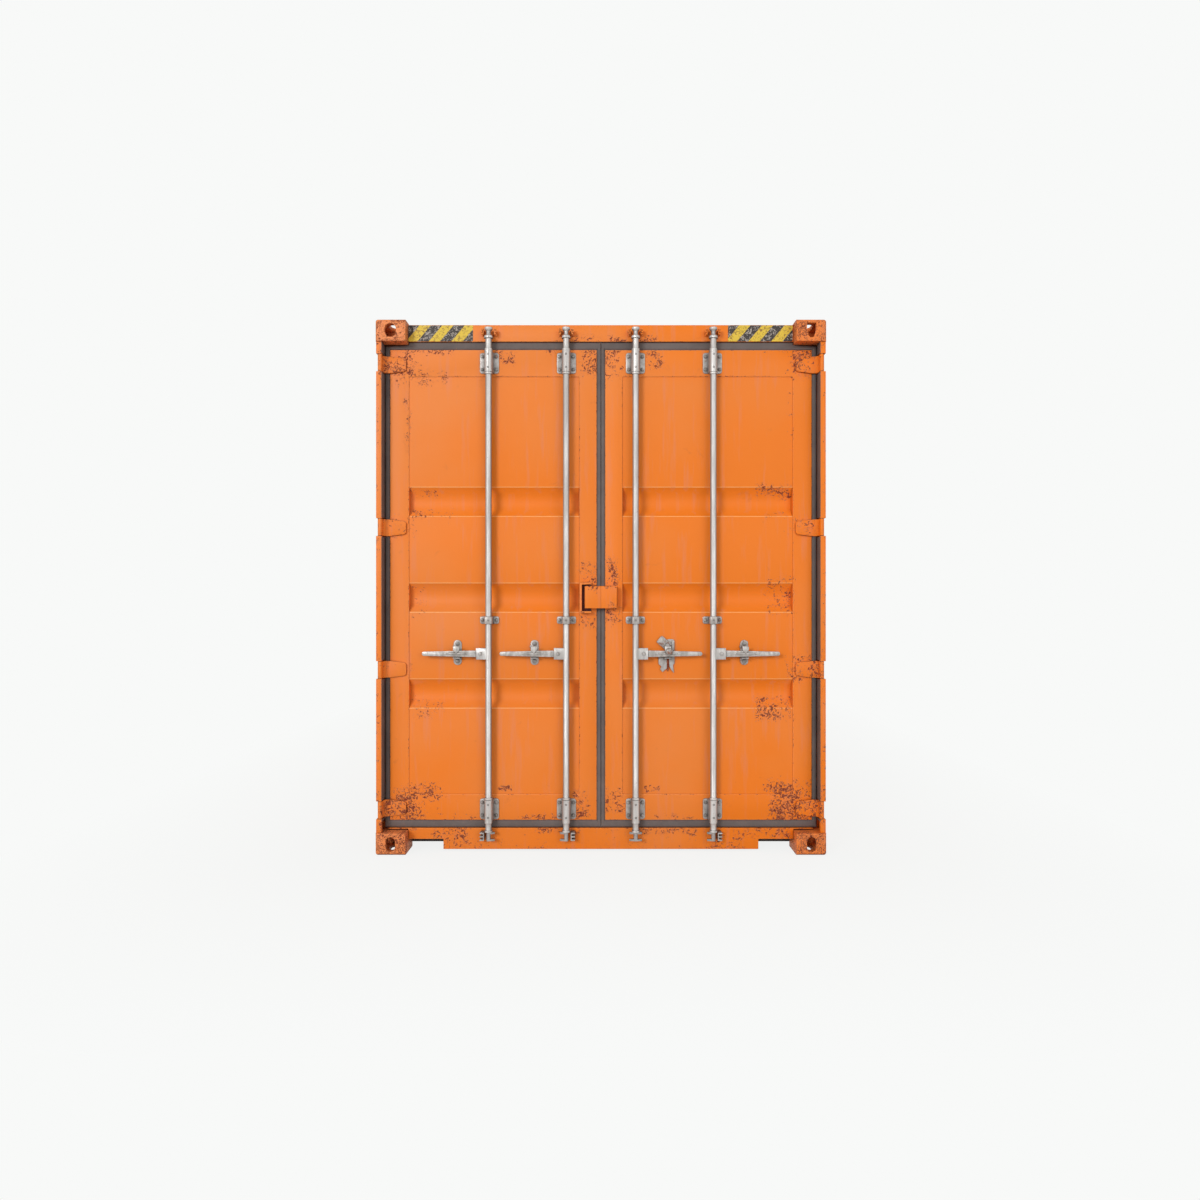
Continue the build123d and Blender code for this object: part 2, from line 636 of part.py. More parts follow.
def hinge_blades():
    """The right leaf's four blades, each from its knuckle back to the leaf's face."""
    leg = KNUCKLE_RADIUS
    face, front = LEAF_FACE, LEAF_FACE - BLADE_THICKNESS
    tip = HINGE_X - BLADE_LENGTH
    blades = []
    for height in HINGE_HEIGHTS:
        z0, z1 = height - HINGE_HEIGHT / 2, height + HINGE_HEIGHT / 2
        outline = [(HINGE_X - leg, HINGE_Y), (HINGE_X, HINGE_Y), (HINGE_X, face), (tip, face),
                   (tip, front), (HINGE_X - 2.4 * leg, front), (HINGE_X - leg, front - 1.4 * leg)]
        blade = along_z(outline, z0, z1)
        drop = (HINGE_HEIGHT - BLADE_TIP) / 2
        shape = [(tip, z0 + drop), (LEAF_OUTER, z0), (HINGE_X + leg, z0),
                 (HINGE_X + leg, z1), (LEAF_OUTER, z1), (tip, z1 - drop)]
        tongue = along_y(shape, HINGE_Y - leg, face)
        corners = [edge for edge in tongue.edges().filter_by(Axis.Y)
                   if abs((edge @ 0.5).X - tip) < BLADE_THICKNESS / 2]
        blade &= fillet(corners, BLADE_ROUND)
        blade += rod(HINGE_X, HINGE_Y, z0, z1, KNUCKLE_RADIUS)
        blade -= rod(HINGE_X, HINGE_Y, z0, z1, PIN_RADIUS + PIN_CLEARANCE)
        blades.append(blade)
    return blades


def saddle(x, z, height, plate_height, back, corner):
    """A bracket that holds a lock rod: a base plate and a block with the rod's bore."""
    plate = round_plate(x, z, BRACKET_WIDTH, plate_height, corner, back - BRACKET_PLATE, back)
    z0, z1 = z - height / 2, z + height / 2
    shape = plate + block(x - SLEEVE_RADIUS, x + SLEEVE_RADIUS, ROD_Y, back, z0, z1)
    shape += rod(x, ROD_Y, z0, z1, SLEEVE_RADIUS)
    return shape - rod(x, ROD_Y, z0, z1, ROD_RADIUS + ROD_CLEARANCE)


def rod_brackets(offsets):
    """Top bracket, middle guide and bottom bracket of each rod of one leaf."""
    pieces = []
    top, bottom = LEAF_TOP - TOP_BRACKET_DROP, LEAF_BOTTOM + BOTTOM_BRACKET_RISE
    for x in offsets:
        for z in (top, bottom):
            pieces.append(saddle(x, z, SLEEVE_HEIGHT, BRACKET_HEIGHT, LEAF_FACE, BRACKET_ROUND))
        pieces.append(saddle(x, GUIDE_MIDDLE, GUIDE_HEIGHT, GUIDE_HEIGHT, PANEL_FACE,
                             GUIDE_ROUND))
    return pieces


def lobe(x, side, z0, z1):
    """One lip of a cam, reaching sideways from the waist."""
    outline = [(x, ROD_Y - CAM_WAIST), (x + side * LOBE_REACH, ROD_Y - LOBE_TIP / 2),
               (x + side * LOBE_REACH, ROD_Y + LOBE_TIP / 2), (x, ROD_Y + CAM_WAIST)]
    return along_z(outline, z0, z1)


def lock_rod(x, handle_side, lobe_sides):
    """A lock rod with its collars, cams and the fork that holds the handle."""
    top, bottom = LEAF_TOP - TOP_BRACKET_DROP, LEAF_BOTTOM + BOTTOM_BRACKET_RISE
    half = SLEEVE_HEIGHT / 2 + BRACKET_PLAY
    cam_base = HEADER_BOTTOM + TOP_CAM_RISE
    cam_top = cam_base + CAM_HEIGHT
    foot = BOTTOM_CAM_BASE + CAM_HEIGHT - CAM_LIP
    shape = rod(x, ROD_Y, foot, cam_base, ROD_RADIUS)
    for z in (top, bottom):
        shape += rod(x, ROD_Y, z + half, z + half + COLLAR_HEIGHT, COLLAR_RADIUS)
        shape += rod(x, ROD_Y, z - half - COLLAR_HEIGHT, z - half, COLLAR_RADIUS)
    shape += rod(x, ROD_Y, cam_base, cam_base + CAM_LIP, CAM_FLANGE)
    shape += rod(x, ROD_Y, cam_base + CAM_LIP, cam_base + 2 * CAM_LIP, CAM_FLANGE, CAM_WAIST)
    shape += rod(x, ROD_Y, cam_base, cam_top, CAM_WAIST)
    shape += rod(x, ROD_Y, cam_top - 2 * CAM_LIP, cam_top - CAM_LIP, CAM_WAIST, CAM_CAP)
    shape += rod(x, ROD_Y, cam_top - CAM_LIP, cam_top, CAM_CAP)
    shape += rod(x, ROD_Y, BOTTOM_CAM_BASE, foot, CAM_WAIST)
    shape += rod(x, ROD_Y, foot, foot + CAM_LIP, COLLAR_RADIUS)
    for side in lobe_sides:
        shape += lobe(x, side, BOTTOM_CAM_BASE, BOTTOM_CAM_BASE + LOBE_HEIGHT)
        shape += lobe(x, side, foot - LOBE_HEIGHT, foot)
    return shape + handle_fork(x, handle_side)


def handle_fork(x, side):
    """The two cheeks and the pin that hold the handle, beside the rod."""
    half = HUB_HEIGHT / 2
    depth = HUB_GAP / 2 + HUB_CHEEK
    z0, z1 = HANDLE_MIDDLE - half, HANDLE_MIDDLE + half
    fork = block(x, x + side * HUB_LENGTH, ROD_Y - depth, ROD_Y + depth, z0, z1)
    fork -= block(x + side * HUB_WEB, x + side * HUB_LENGTH, ROD_Y - HUB_GAP / 2,
                  ROD_Y + HUB_GAP / 2, z0, z1)
    pin_x = x + side * PIN_OFFSET
    fork += pin_along_y(pin_x, ROD_Y - depth, ROD_Y + depth, HANDLE_MIDDLE, HUB_PIN)
    fork += pin_along_y(pin_x, ROD_Y - depth - HUB_HEAD_HEIGHT, ROD_Y - depth, HANDLE_MIDDLE,
                        HUB_PIN_HEAD)
    return fork


def handle(x, side):
    """A flat handle bar with its eye, its round tip and the nose that laps the retainer."""
    pin_x = x + side * PIN_OFFSET
    y0, y1 = ROD_Y - HANDLE_THICKNESS / 2, ROD_Y + HANDLE_THICKNESS / 2
    tip_x = pin_x + side * (HANDLE_LENGTH - HANDLE_TIP / 2)
    z = HANDLE_MIDDLE
    outline = [(pin_x, z - HANDLE_ROOT / 2), (tip_x, z - HANDLE_TIP / 2),
               (tip_x, z + HANDLE_TIP / 2), (pin_x, z + HANDLE_ROOT / 2)]
    bar = along_y(outline, y0, y1)
    bar += pin_along_y(tip_x, y0, y1, z, HANDLE_TIP / 2)
    bar += pin_along_y(pin_x, y0, y1, z, HANDLE_EYE)
    nose_x = x + side * RETAINER_OFFSET
    half = NOSE_WIDTH / 2
    top = z + NOSE_HEIGHT
    nose = [(nose_x - half, top), (nose_x - half, z + 4 * NOSE_THICKNESS),
            (nose_x, z), (nose_x + half, z + 4 * NOSE_THICKNESS), (nose_x + half, top)]
    bar += along_y(nose, y0 - NOSE_THICKNESS, y0)
    return bar - pin_along_y(pin_x, y0, y1, z, HUB_PIN + PIN_CLEARANCE)


def handle_retainer(x, side):
    """The plate behind a handle, with the ledge that the handle lies over."""
    middle = x + side * RETAINER_OFFSET
    z = HANDLE_MIDDLE + RETAINER_RISE
    plate = round_plate(middle, z, RETAINER_WIDTH, RETAINER_HEIGHT, RETAINER_WIDTH / 2 - 1,
                        PANEL_FACE - RETAINER_PLATE, PANEL_FACE)
    top = HANDLE_MIDDLE - HANDLE_ROOT / 2 - LEDGE_GAP
    ledge = block(middle - RETAINER_WIDTH / 2, middle + RETAINER_WIDTH / 2,
                  PANEL_FACE - LEDGE_DEPTH, PANEL_FACE - RETAINER_PLATE, top - LEDGE_THICKNESS, top)
    return plate + ledge


def bent_retainer(x, side):
    """The larger retainer of the third handle: upper plate, ledge and two lower plates."""
    middle = x + side * RETAINER_OFFSET
    y0, y1 = PANEL_FACE - RETAINER_PLATE, PANEL_FACE
    retainer = handle_retainer(x, side)
    drop = HANDLE_MIDDLE - HANDLE_ROOT / 2 - LEDGE_GAP
    for side_offset in (-1, 1):
        place = middle + side_offset * (LOWER_PLATE_WIDTH + LOWER_PLATE_GAP) / 2
        retainer += block(place - LOWER_PLATE_WIDTH / 2, place + LOWER_PLATE_WIDTH / 2,
                          y0, y1, drop - LOWER_PLATE_HEIGHT, drop)
    return retainer


def catch_pivot():
    """Where the third handle's catch is riveted to its retainer."""
    x = ROD_OFFSETS[2] + RETAINER_OFFSET
    z = HANDLE_MIDDLE + RETAINER_RISE + (RETAINER_HEIGHT - RETAINER_WIDTH) / 2 - CATCH_DROP
    return x, z


def handle_catch():
    """The tilted plate that swings on its rivet above the third handle."""
    x, z = catch_pivot()
    back = PANEL_FACE - RETAINER_PLATE - CATCH_PLAY
    outline = RectangleRounded(CATCH_LENGTH, CATCH_WIDTH, RIVET_RADIUS)
    shape = Pos(CATCH_LENGTH / 2 - 2 * RIVET_RADIUS, 0) * outline
    plane = face_plane(x, back, z) * Rot(0, 0, CATCH_TILT)
    plate = extrude(plane * shape, CATCH_THICKNESS)
    return plate - pin_along_y(x, back - CATCH_THICKNESS, back, z, RIVET_RADIUS + PIN_CLEARANCE)


def catch_rivet():
    """The rivet that the catch swings on, with its head."""
    x, z = catch_pivot()
    plate = PANEL_FACE - RETAINER_PLATE
    front = plate - CATCH_THICKNESS - 2 * CATCH_PLAY
    rivet = pin_along_y(x, front, plate, z, RIVET_RADIUS)
    return rivet + pin_along_y(x, front - RIVET_HEAD_HEIGHT, front, z, RIVET_HEAD_RADIUS)


def lock_box_half():
    """The right half of the lock box cover, open below and towards the seam."""
    y0, y1 = LEAF_FACE - BOX_DEPTH, LEAF_FACE
    wall = BOX_WALL
    box = block(BOX_SEAM_GAP, BOX_HALF, y0, y1, BOX_BOTTOM, BOX_TOP)
    bevelled = [edge for edge in box.edges()
                if abs((edge @ 0.5).Y - y0) < 0.01 and (edge @ 0.5).X > BOX_SEAM_GAP + 0.01]
    box = chamfer(bevelled, BOX_BEVEL)
    return box - block(BOX_SEAM_GAP, BOX_HALF - wall, y0 + wall, y1, BOX_BOTTOM, BOX_TOP - wall)


def lock_clamp():
    """The C-shaped bracket on the left leaf, open to the seam."""
    y0, y1 = LEAF_FACE - CLAMP_DEPTH, LEAF_FACE
    bar = CLAMP_BAR
    clamp = block(-CLAMP_OUTER, -CLAMP_INNER, y0, y1, CLAMP_BOTTOM, CLAMP_TOP)
    return clamp - block(-CLAMP_OUTER + bar, -CLAMP_INNER, y0, y1,
                         CLAMP_BOTTOM + bar, CLAMP_TOP - bar)


def top_keeper(x):
    """A keeper on the header, its two prongs either side of the cam."""
    base = HEADER_BOTTOM + TOP_CAM_RISE + 2 * CAM_LIP + KEEPER_GAP
    top = HEADER_BOTTOM + TOP_CAM_RISE + CAM_HEIGHT - 2 * CAM_LIP - KEEPER_GAP
    reach = CAM_FLANGE + KEEPER_GAP
    back = LEAF_FACE - KEEPER_PLATE
    keeper = block(x - reach - PRONG, x + reach + PRONG, back, LEAF_FACE, base - KEEPER_GAP,
                   top + KEEPER_GAP)
    for side in (-1, 1):
        keeper += block(x + side * reach, x + side * (reach + PRONG), back - PRONG_REACH, back,
                        base, top)
    return keeper


def bottom_keeper(x, side):
    """A keeper on the sill beside a cam: a web with three teeth."""
    front = ROD_Y - CAM_WAIST / 2
    inner = x + side * (COLLAR_RADIUS + KEEPER_GAP)
    web = inner + side * TOOTH_WEB
    top = BOTTOM_CAM_BASE + CAM_HEIGHT - CAM_LIP - KEEPER_GAP
    keeper = block(inner, web, front, LEAF_FACE, BOTTOM_CAM_BASE, top)
    step = (top - BOTTOM_CAM_BASE - TOOTH_HEIGHT) / 2
    for i in range(3):
        z = BOTTOM_CAM_BASE + i * step
        keeper += block(web, web + side * TOOTH_LENGTH, front, LEAF_FACE, z, z + TOOTH_HEIGHT)
    return keeper


os.makedirs("parts", exist_ok=True)

save("door_end_castings", *castings(-1))
save("front_end_castings", *castings(1))
save("right_door_post", door_post())
save("left_door_post", mirrored(door_post()))
save("front_posts", front_post(), mirrored(front_post()))
save("door_header", door_header())
save("door_sill", door_sill())
save("front_top_rail", front_top_rail())
save("front_bottom_rail", front_bottom_rail())
save("top_side_rails", top_side_rail(), mirrored(top_side_rail()))
save("bottom_side_rails", bottom_side_rail(), mirrored(bottom_side_rail()))
save("right_side_wall", side_wall())
save("left_side_wall", mirrored(side_wall()))
save("front_wall", front_wall())
save("roof_panel", roof_panel())
save("wall_vents", wall_vent(), mirrored(wall_vent()))
save("floor_boards", floor_boards())
save("cross_members", *cross_members())
save("fork_pockets", *[fork_pocket(m) for m in (-FORK_SPACING / 2, FORK_SPACING / 2)])
save("hinge_pins", *hinge_pins(), *[mirrored(pin) for pin in hinge_pins()])

save("right_door_frame", leaf_frame())
save("left_door_frame", mirrored(leaf_frame()))
save("right_door_panel", leaf_panel())
save("left_door_panel", mirrored(leaf_panel()))
save("right_door_gasket", leaf_gasket())
save("left_door_gasket", mirrored(leaf_gasket()))
save("right_hinge_blades", *hinge_blades())
save("left_hinge_blades", *[mirrored(blade) for blade in hinge_blades()])
save("left_rod_brackets", *rod_brackets(ROD_OFFSETS[:2]))
save("right_rod_brackets", *rod_brackets(ROD_OFFSETS[2:]))
save("left_lock_box", mirrored(lock_box_half()), lock_clamp())
save("right_lock_box", lock_box_half())

HANDLE_SIDES = (-1, -1, 1, 1)
LOBE_SIDES = ((1,), (-1,), (-1, 1), (-1,))
save("left_handle_retainers", handle_retainer(ROD_OFFSETS[0], -1), handle_retainer(ROD_OFFSETS[1], -1))
save("right_handle_retainers", bent_retainer(ROD_OFFSETS[2], 1) + catch_rivet(),
     handle_retainer(ROD_OFFSETS[3], 1))
for number, x in enumerate(ROD_OFFSETS):
    side = HANDLE_SIDES[number]
    save(f"lock_rod_{number + 1}", lock_rod(x, side, LOBE_SIDES[number]))
    save(f"handle_{number + 1}", handle(x, side))
save("handle_catch", handle_catch())

keepers = [top_keeper(x) for x in ROD_OFFSETS]
keepers += [bottom_keeper(x, -sides[0]) for x, sides in zip(ROD_OFFSETS, LOBE_SIDES) if len(sides) == 1]
save("cam_keepers", *keepers)
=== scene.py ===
import json
import math

import bpy
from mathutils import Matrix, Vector

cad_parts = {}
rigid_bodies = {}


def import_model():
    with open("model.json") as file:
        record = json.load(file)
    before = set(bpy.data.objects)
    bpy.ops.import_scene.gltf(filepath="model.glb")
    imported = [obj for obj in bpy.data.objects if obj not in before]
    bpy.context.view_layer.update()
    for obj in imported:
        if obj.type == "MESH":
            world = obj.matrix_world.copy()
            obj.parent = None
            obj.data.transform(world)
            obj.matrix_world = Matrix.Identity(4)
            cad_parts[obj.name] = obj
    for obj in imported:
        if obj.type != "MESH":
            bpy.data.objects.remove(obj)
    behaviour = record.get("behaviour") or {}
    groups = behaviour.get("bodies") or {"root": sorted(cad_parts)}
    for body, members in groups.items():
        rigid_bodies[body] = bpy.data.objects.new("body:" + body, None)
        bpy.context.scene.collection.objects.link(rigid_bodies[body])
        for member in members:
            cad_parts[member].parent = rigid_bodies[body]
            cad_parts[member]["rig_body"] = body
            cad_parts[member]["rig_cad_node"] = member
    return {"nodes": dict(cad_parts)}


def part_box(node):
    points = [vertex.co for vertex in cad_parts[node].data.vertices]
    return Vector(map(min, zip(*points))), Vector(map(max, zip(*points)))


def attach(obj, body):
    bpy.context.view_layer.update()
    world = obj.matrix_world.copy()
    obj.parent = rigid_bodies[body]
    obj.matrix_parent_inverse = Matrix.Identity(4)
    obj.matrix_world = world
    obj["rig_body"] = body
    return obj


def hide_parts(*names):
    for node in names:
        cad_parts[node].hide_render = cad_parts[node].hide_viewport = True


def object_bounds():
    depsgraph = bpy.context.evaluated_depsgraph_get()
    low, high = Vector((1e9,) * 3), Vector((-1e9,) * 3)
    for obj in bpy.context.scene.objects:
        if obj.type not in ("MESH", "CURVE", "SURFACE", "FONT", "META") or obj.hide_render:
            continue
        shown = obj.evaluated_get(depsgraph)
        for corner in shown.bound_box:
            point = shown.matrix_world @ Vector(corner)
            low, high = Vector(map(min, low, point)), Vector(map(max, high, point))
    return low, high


# The looks of a steel freight container, seen straight onto its door end.
# Metres: X right as seen from the door end, Y towards the front wall, Z up.

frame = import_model()
cad_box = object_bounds()

# Places taken from the frame
LOW, HIGH = cad_box
DOOR_END = LOW[1]
FRONT_END = HIGH[1]
SIDE = HIGH[0]
HEADER_LOW, HEADER_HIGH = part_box("door_header")
LEAF_LOW, LEAF_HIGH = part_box("right_door_frame")
PANEL_LOW, PANEL_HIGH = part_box("right_door_panel")
LEAF_FACE = LEAF_LOW[1]
PANEL_FACE = PANEL_LOW[1]

# The lock rods and their handles
RODS = (-0.611, -0.189, 0.189, 0.611)
ROD_Y = DOOR_END + 0.032
GUIDE_MIDDLE = 1.269
HANDLE_SIDES = (-1, -1, 1, 1)
HANDLE_MIDDLE = 1.087
HANDLE_DEPTH = 0.012
FORK_DEPTH = 0.027
PIN_OFFSET = 0.044
RETAINER_OFFSET = 0.175
CATCH_PIVOT_Z = 1.1275

# Hazard films on the header: where each starts, and its stripes of yellow and black
DECAL_LEFT = -1.056
DECAL_RIGHT = 0.697
DECAL_LENGTH = 0.355
DECAL_LOW = HEADER_LOW[2] + 0.044
DECAL_HIGH = HEADER_HIGH[2] - 0.002
STRIPE_START = -0.013
STRIPE_PITCH = 0.1245
STRIPE_LEAN = -0.84
FILM = 0.0004

# The camera that the photograph was taken with
CAMERA_LENS = 25.0
SENSOR_WIDTH = 36.0
CAMERA_PLACE = (-0.005, DOOR_END - 4.498, 1.379)


def linear(text):
    """An sRGB hex colour as linear red, green, blue, alpha."""
    parts = [int(text[i:i + 2], 16) / 255 for i in (1, 3, 5)]
    return [c / 12.92 if c <= 0.04045 else ((c + 0.055) / 1.055) ** 2.4 for c in parts] + [1.0]


def fill(tree, sockets, values):
    """Fills sockets with values, hex colours or other nodes' outputs."""
    for socket, value in values.items():
        if isinstance(value, bpy.types.NodeSocket):
            tree.links.new(value, sockets[socket])
        else:
            sockets[socket].default_value = linear(value) if isinstance(value, str) else value


def add(tree, kind, inputs=(), **settings):
    """Adds a node with its settings, fills its inputs, and gives back what comes out of it."""
    made = tree.nodes.new("ShaderNode" + kind)
    if kind == "Mix":
        made.data_type = "RGBA"
    for name, value in settings.items():
        setattr(made, name, value)
    fill(tree, made.inputs, dict(inputs))
    return made.outputs[2 if kind == "Mix" else 0]


def new_material(name):
    """A new node material, as (material, tree, shader's sockets, places on the piece)."""
    material = bpy.data.materials.new(name)
    material.use_nodes = True
    tree = material.node_tree
    place = tree.nodes.new("ShaderNodeTexCoord").outputs["Object"]
    return material, tree, tree.nodes["Principled BSDF"].inputs, place


# Worn places on the door end, as (left, low, right, high, reach, strength), in metres
WORN_PLACES = [
    # Round the hinges, worst at the foot
    (-1.19, 0.17, -1.02, 0.30, 0.13, 1.0), (0.96, 0.18, 1.18, 0.34, 0.13, 1.0),
    (-1.18, 2.57, -1.05, 2.74, 0.08, 0.85), (1.06, 2.60, 1.16, 2.74, 0.08, 0.9),
    (-1.19, 1.73, -1.04, 1.83, 0.06, 0.6), (1.04, 1.74, 1.16, 1.81, 0.06, 0.7),
    (-1.19, 0.96, -1.06, 1.04, 0.06, 0.55), (1.06, 0.95, 1.18, 1.06, 0.07, 0.85),
    # Along the header's lower edge and the tops of the leaves
    (-0.24, 2.80, -0.01, 2.81, 0.035, 0.85), (0.04, 2.80, 0.30, 2.81, 0.035, 0.95),
    (-1.04, 2.735, -0.82, 2.75, 0.03, 0.9), (0.90, 2.735, 1.04, 2.75, 0.03, 0.7),
    (-0.10, 2.63, -0.03, 2.74, 0.06, 0.9), (0.03, 2.62, 0.10, 2.74, 0.06, 0.85),
    (-0.55, 2.68, -0.50, 2.74, 0.045, 1.0), (0.26, 2.66, 0.33, 2.74, 0.045, 0.9),
    (-1.03, 2.58, -0.86, 2.62, 0.05, 0.8), (-0.30, 2.735, -0.04, 2.745, 0.03, 0.8),
    (0.60, 2.735, 0.88, 2.745, 0.02, 0.55), (-1.07, 2.26, -1.055, 2.48, 0.03, 0.8),
    (1.04, 2.20, 1.05, 2.58, 0.02, 0.6),
    # Round the lock box
    (-0.10, 1.48, -0.03, 1.57, 0.05, 0.95), (0.03, 1.47, 0.08, 1.60, 0.05, 0.9),
    (-0.10, 1.24, -0.03, 1.31, 0.05, 0.8), (0.04, 1.27, 0.10, 1.33, 0.045, 0.95),
    (-0.08, 1.44, -0.02, 1.455, 0.03, 0.95), (0.04, 1.34, 0.07, 1.36, 0.03, 0.7),
    # Channel ends and lips
    (-1.04, 1.83, -0.83, 1.86, 0.04, 0.8), (-1.04, 1.96, -0.90, 1.98, 0.04, 0.7),
    (0.87, 1.96, 1.04, 2.00, 0.04, 0.85), (0.90, 1.83, 1.04, 1.86, 0.035, 0.6),
    (0.93, 1.30, 1.04, 1.50, 0.04, 0.7), (-1.04, 1.30, -0.97, 1.48, 0.04, 0.55),
    (-1.04, 0.74, -0.88, 0.83, 0.04, 0.7), (0.86, 0.73, 1.04, 0.83, 0.045, 0.85),
    # Lower edges of the panels and leaves
    (-1.05, 0.29, -0.86, 0.36, 0.05, 0.85), (-0.56, 0.35, -0.50, 0.36, 0.02, 0.95),
    (-0.14, 0.20, -0.08, 0.33, 0.04, 1.0), (0.02, 0.22, 0.11, 0.33, 0.05, 0.95),
    (0.24, 0.34, 0.31, 0.36, 0.02, 1.0), (-0.42, 0.18, -0.16, 0.19, 0.025, 0.8),
    (0.30, 0.18, 0.58, 0.185, 0.02, 0.8), (-0.80, 0.18, -0.66, 0.20, 0.03, 0.6),
    # The sill
    (-0.90, 0.03, -0.74, 0.12, 0.05, 0.85), (-0.34, 0.10, -0.12, 0.128, 0.03, 0.85),
    (0.20, 0.10, 0.52, 0.128, 0.03, 0.85), (0.56, 0.02, 0.80, 0.10, 0.05, 0.75),
    (-0.87, 0.00, 0.87, 0.012, 0.03, 0.7), (0.74, 0.09, 1.05, 0.128, 0.04, 0.8),
]

# How far the worn places' limits are pushed about, and over what width they fade
RAGGEDNESS = 0.07
FADE_WIDTH = 0.012
# Most wear at the foot of the rails and walls and along the outer corners, and how much of the
# corners' wear is left away from the door end
FOOT_WEAR = 0.55
CORNER_WEAR = 0.62
CORNER_SHARE = 0.62


def worn_places():
    """A node group that says how worn the paint is at each point: 0 is sound, 1 is flaking."""
    tree = bpy.data.node_groups.new("worn_places", "ShaderNodeTree")
    tree.interface.new_socket("Wear", in_out="OUTPUT", socket_type="NodeSocketFloat")
    place = tree.nodes.new("ShaderNodeTexCoord").outputs["Object"]
    parts = add(tree, "SeparateXYZ", {0: place}).node.outputs
    flat = add(tree, "CombineXYZ", {"X": parts["X"], "Z": parts["Z"]})
    # Ragged limits: each place is pushed about by up to 20 mm
    push = add(tree, "TexNoise", {"Vector": place, "Scale": 8.0, "Detail": 3.0}).node
    push = add(tree, "VectorMath", {0: push.outputs["Color"], 1: (0.5, 0.5, 0.5)},
               operation="SUBTRACT")
    flat = add(tree, "VectorMath", {0: push, 1: (RAGGEDNESS, 0.0, RAGGEDNESS), 2: flat},
               operation="MULTIPLY_ADD")
    total = None
    for left, low, right, high, reach, strength in WORN_PLACES:
        nearest = add(tree, "VectorMath", {0: flat, 1: (left, 0, low)}, operation="MAXIMUM")
        nearest = add(tree, "VectorMath", {0: nearest, 1: (right, 0, high)}, operation="MINIMUM")
        gap = add(tree, "VectorMath", {0: flat, 1: nearest}, operation="DISTANCE").node
        near = add(tree, "MapRange", {"Value": gap.outputs["Value"], "From Max": 0.0,
                                      "From Min": reach + FADE_WIDTH, "To Max": strength})
        total = near if total is None else add(tree, "Math", {0: total, 1: near}, operation="MAXIMUM")
    door_end = add(tree, "MapRange", {"Value": parts["Y"], "From Min": DOOR_END + 0.20,
                                      "From Max": DOOR_END + 0.15})
    total = add(tree, "Math", {0: total, 1: door_end}, operation="MULTIPLY")
    # Rails and walls rust from the ground up, and all round the outer corners
    foot = add(tree, "MapRange", {"Value": parts["Z"], "From Min": 0.40, "From Max": 0.0,
                                  "To Max": FOOT_WEAR})
    total = add(tree, "Math", {0: total, 1: foot}, operation="MAXIMUM")
    side = add(tree, "Math", {0: parts["X"]}, operation="ABSOLUTE")
    edge = add(tree, "MapRange", {"Value": side, "From Min": SIDE - 0.045, "From Max": SIDE - 0.015,
                                  "To Max": CORNER_WEAR})
    fade = add(tree, "MapRange", {"Value": parts["Y"], "From Min": DOOR_END + 0.15,
                                  "From Max": DOOR_END + 0.60, "To Min": 1.0,
                                  "To Max": CORNER_SHARE})
    edge = add(tree, "Math", {0: edge, 1: fade}, operation="MULTIPLY")
    total = add(tree, "Math", {0: total, 1: edge}, operation="MAXIMUM")
    out = tree.nodes.new("NodeGroupOutput")
    tree.links.new(total, out.inputs[0])
    return tree


WORN_GROUP = worn_places()


def corner_shade_and_grime(tree, colour, darkening, reach, clean, packed, most=1.0):
    """A colour darkened where little open space is within reach: painted shade and grime in corners.
    """
    space = add(tree, "AmbientOcclusion", {"Distance": reach}, samples=6)
    share = add(tree, "MapRange", {"Value": space, "From Min": clean, "From Max": packed,
                                   "To Max": most})
    return add(tree, "Mix", {0: share, 6: colour, 7: darkening})


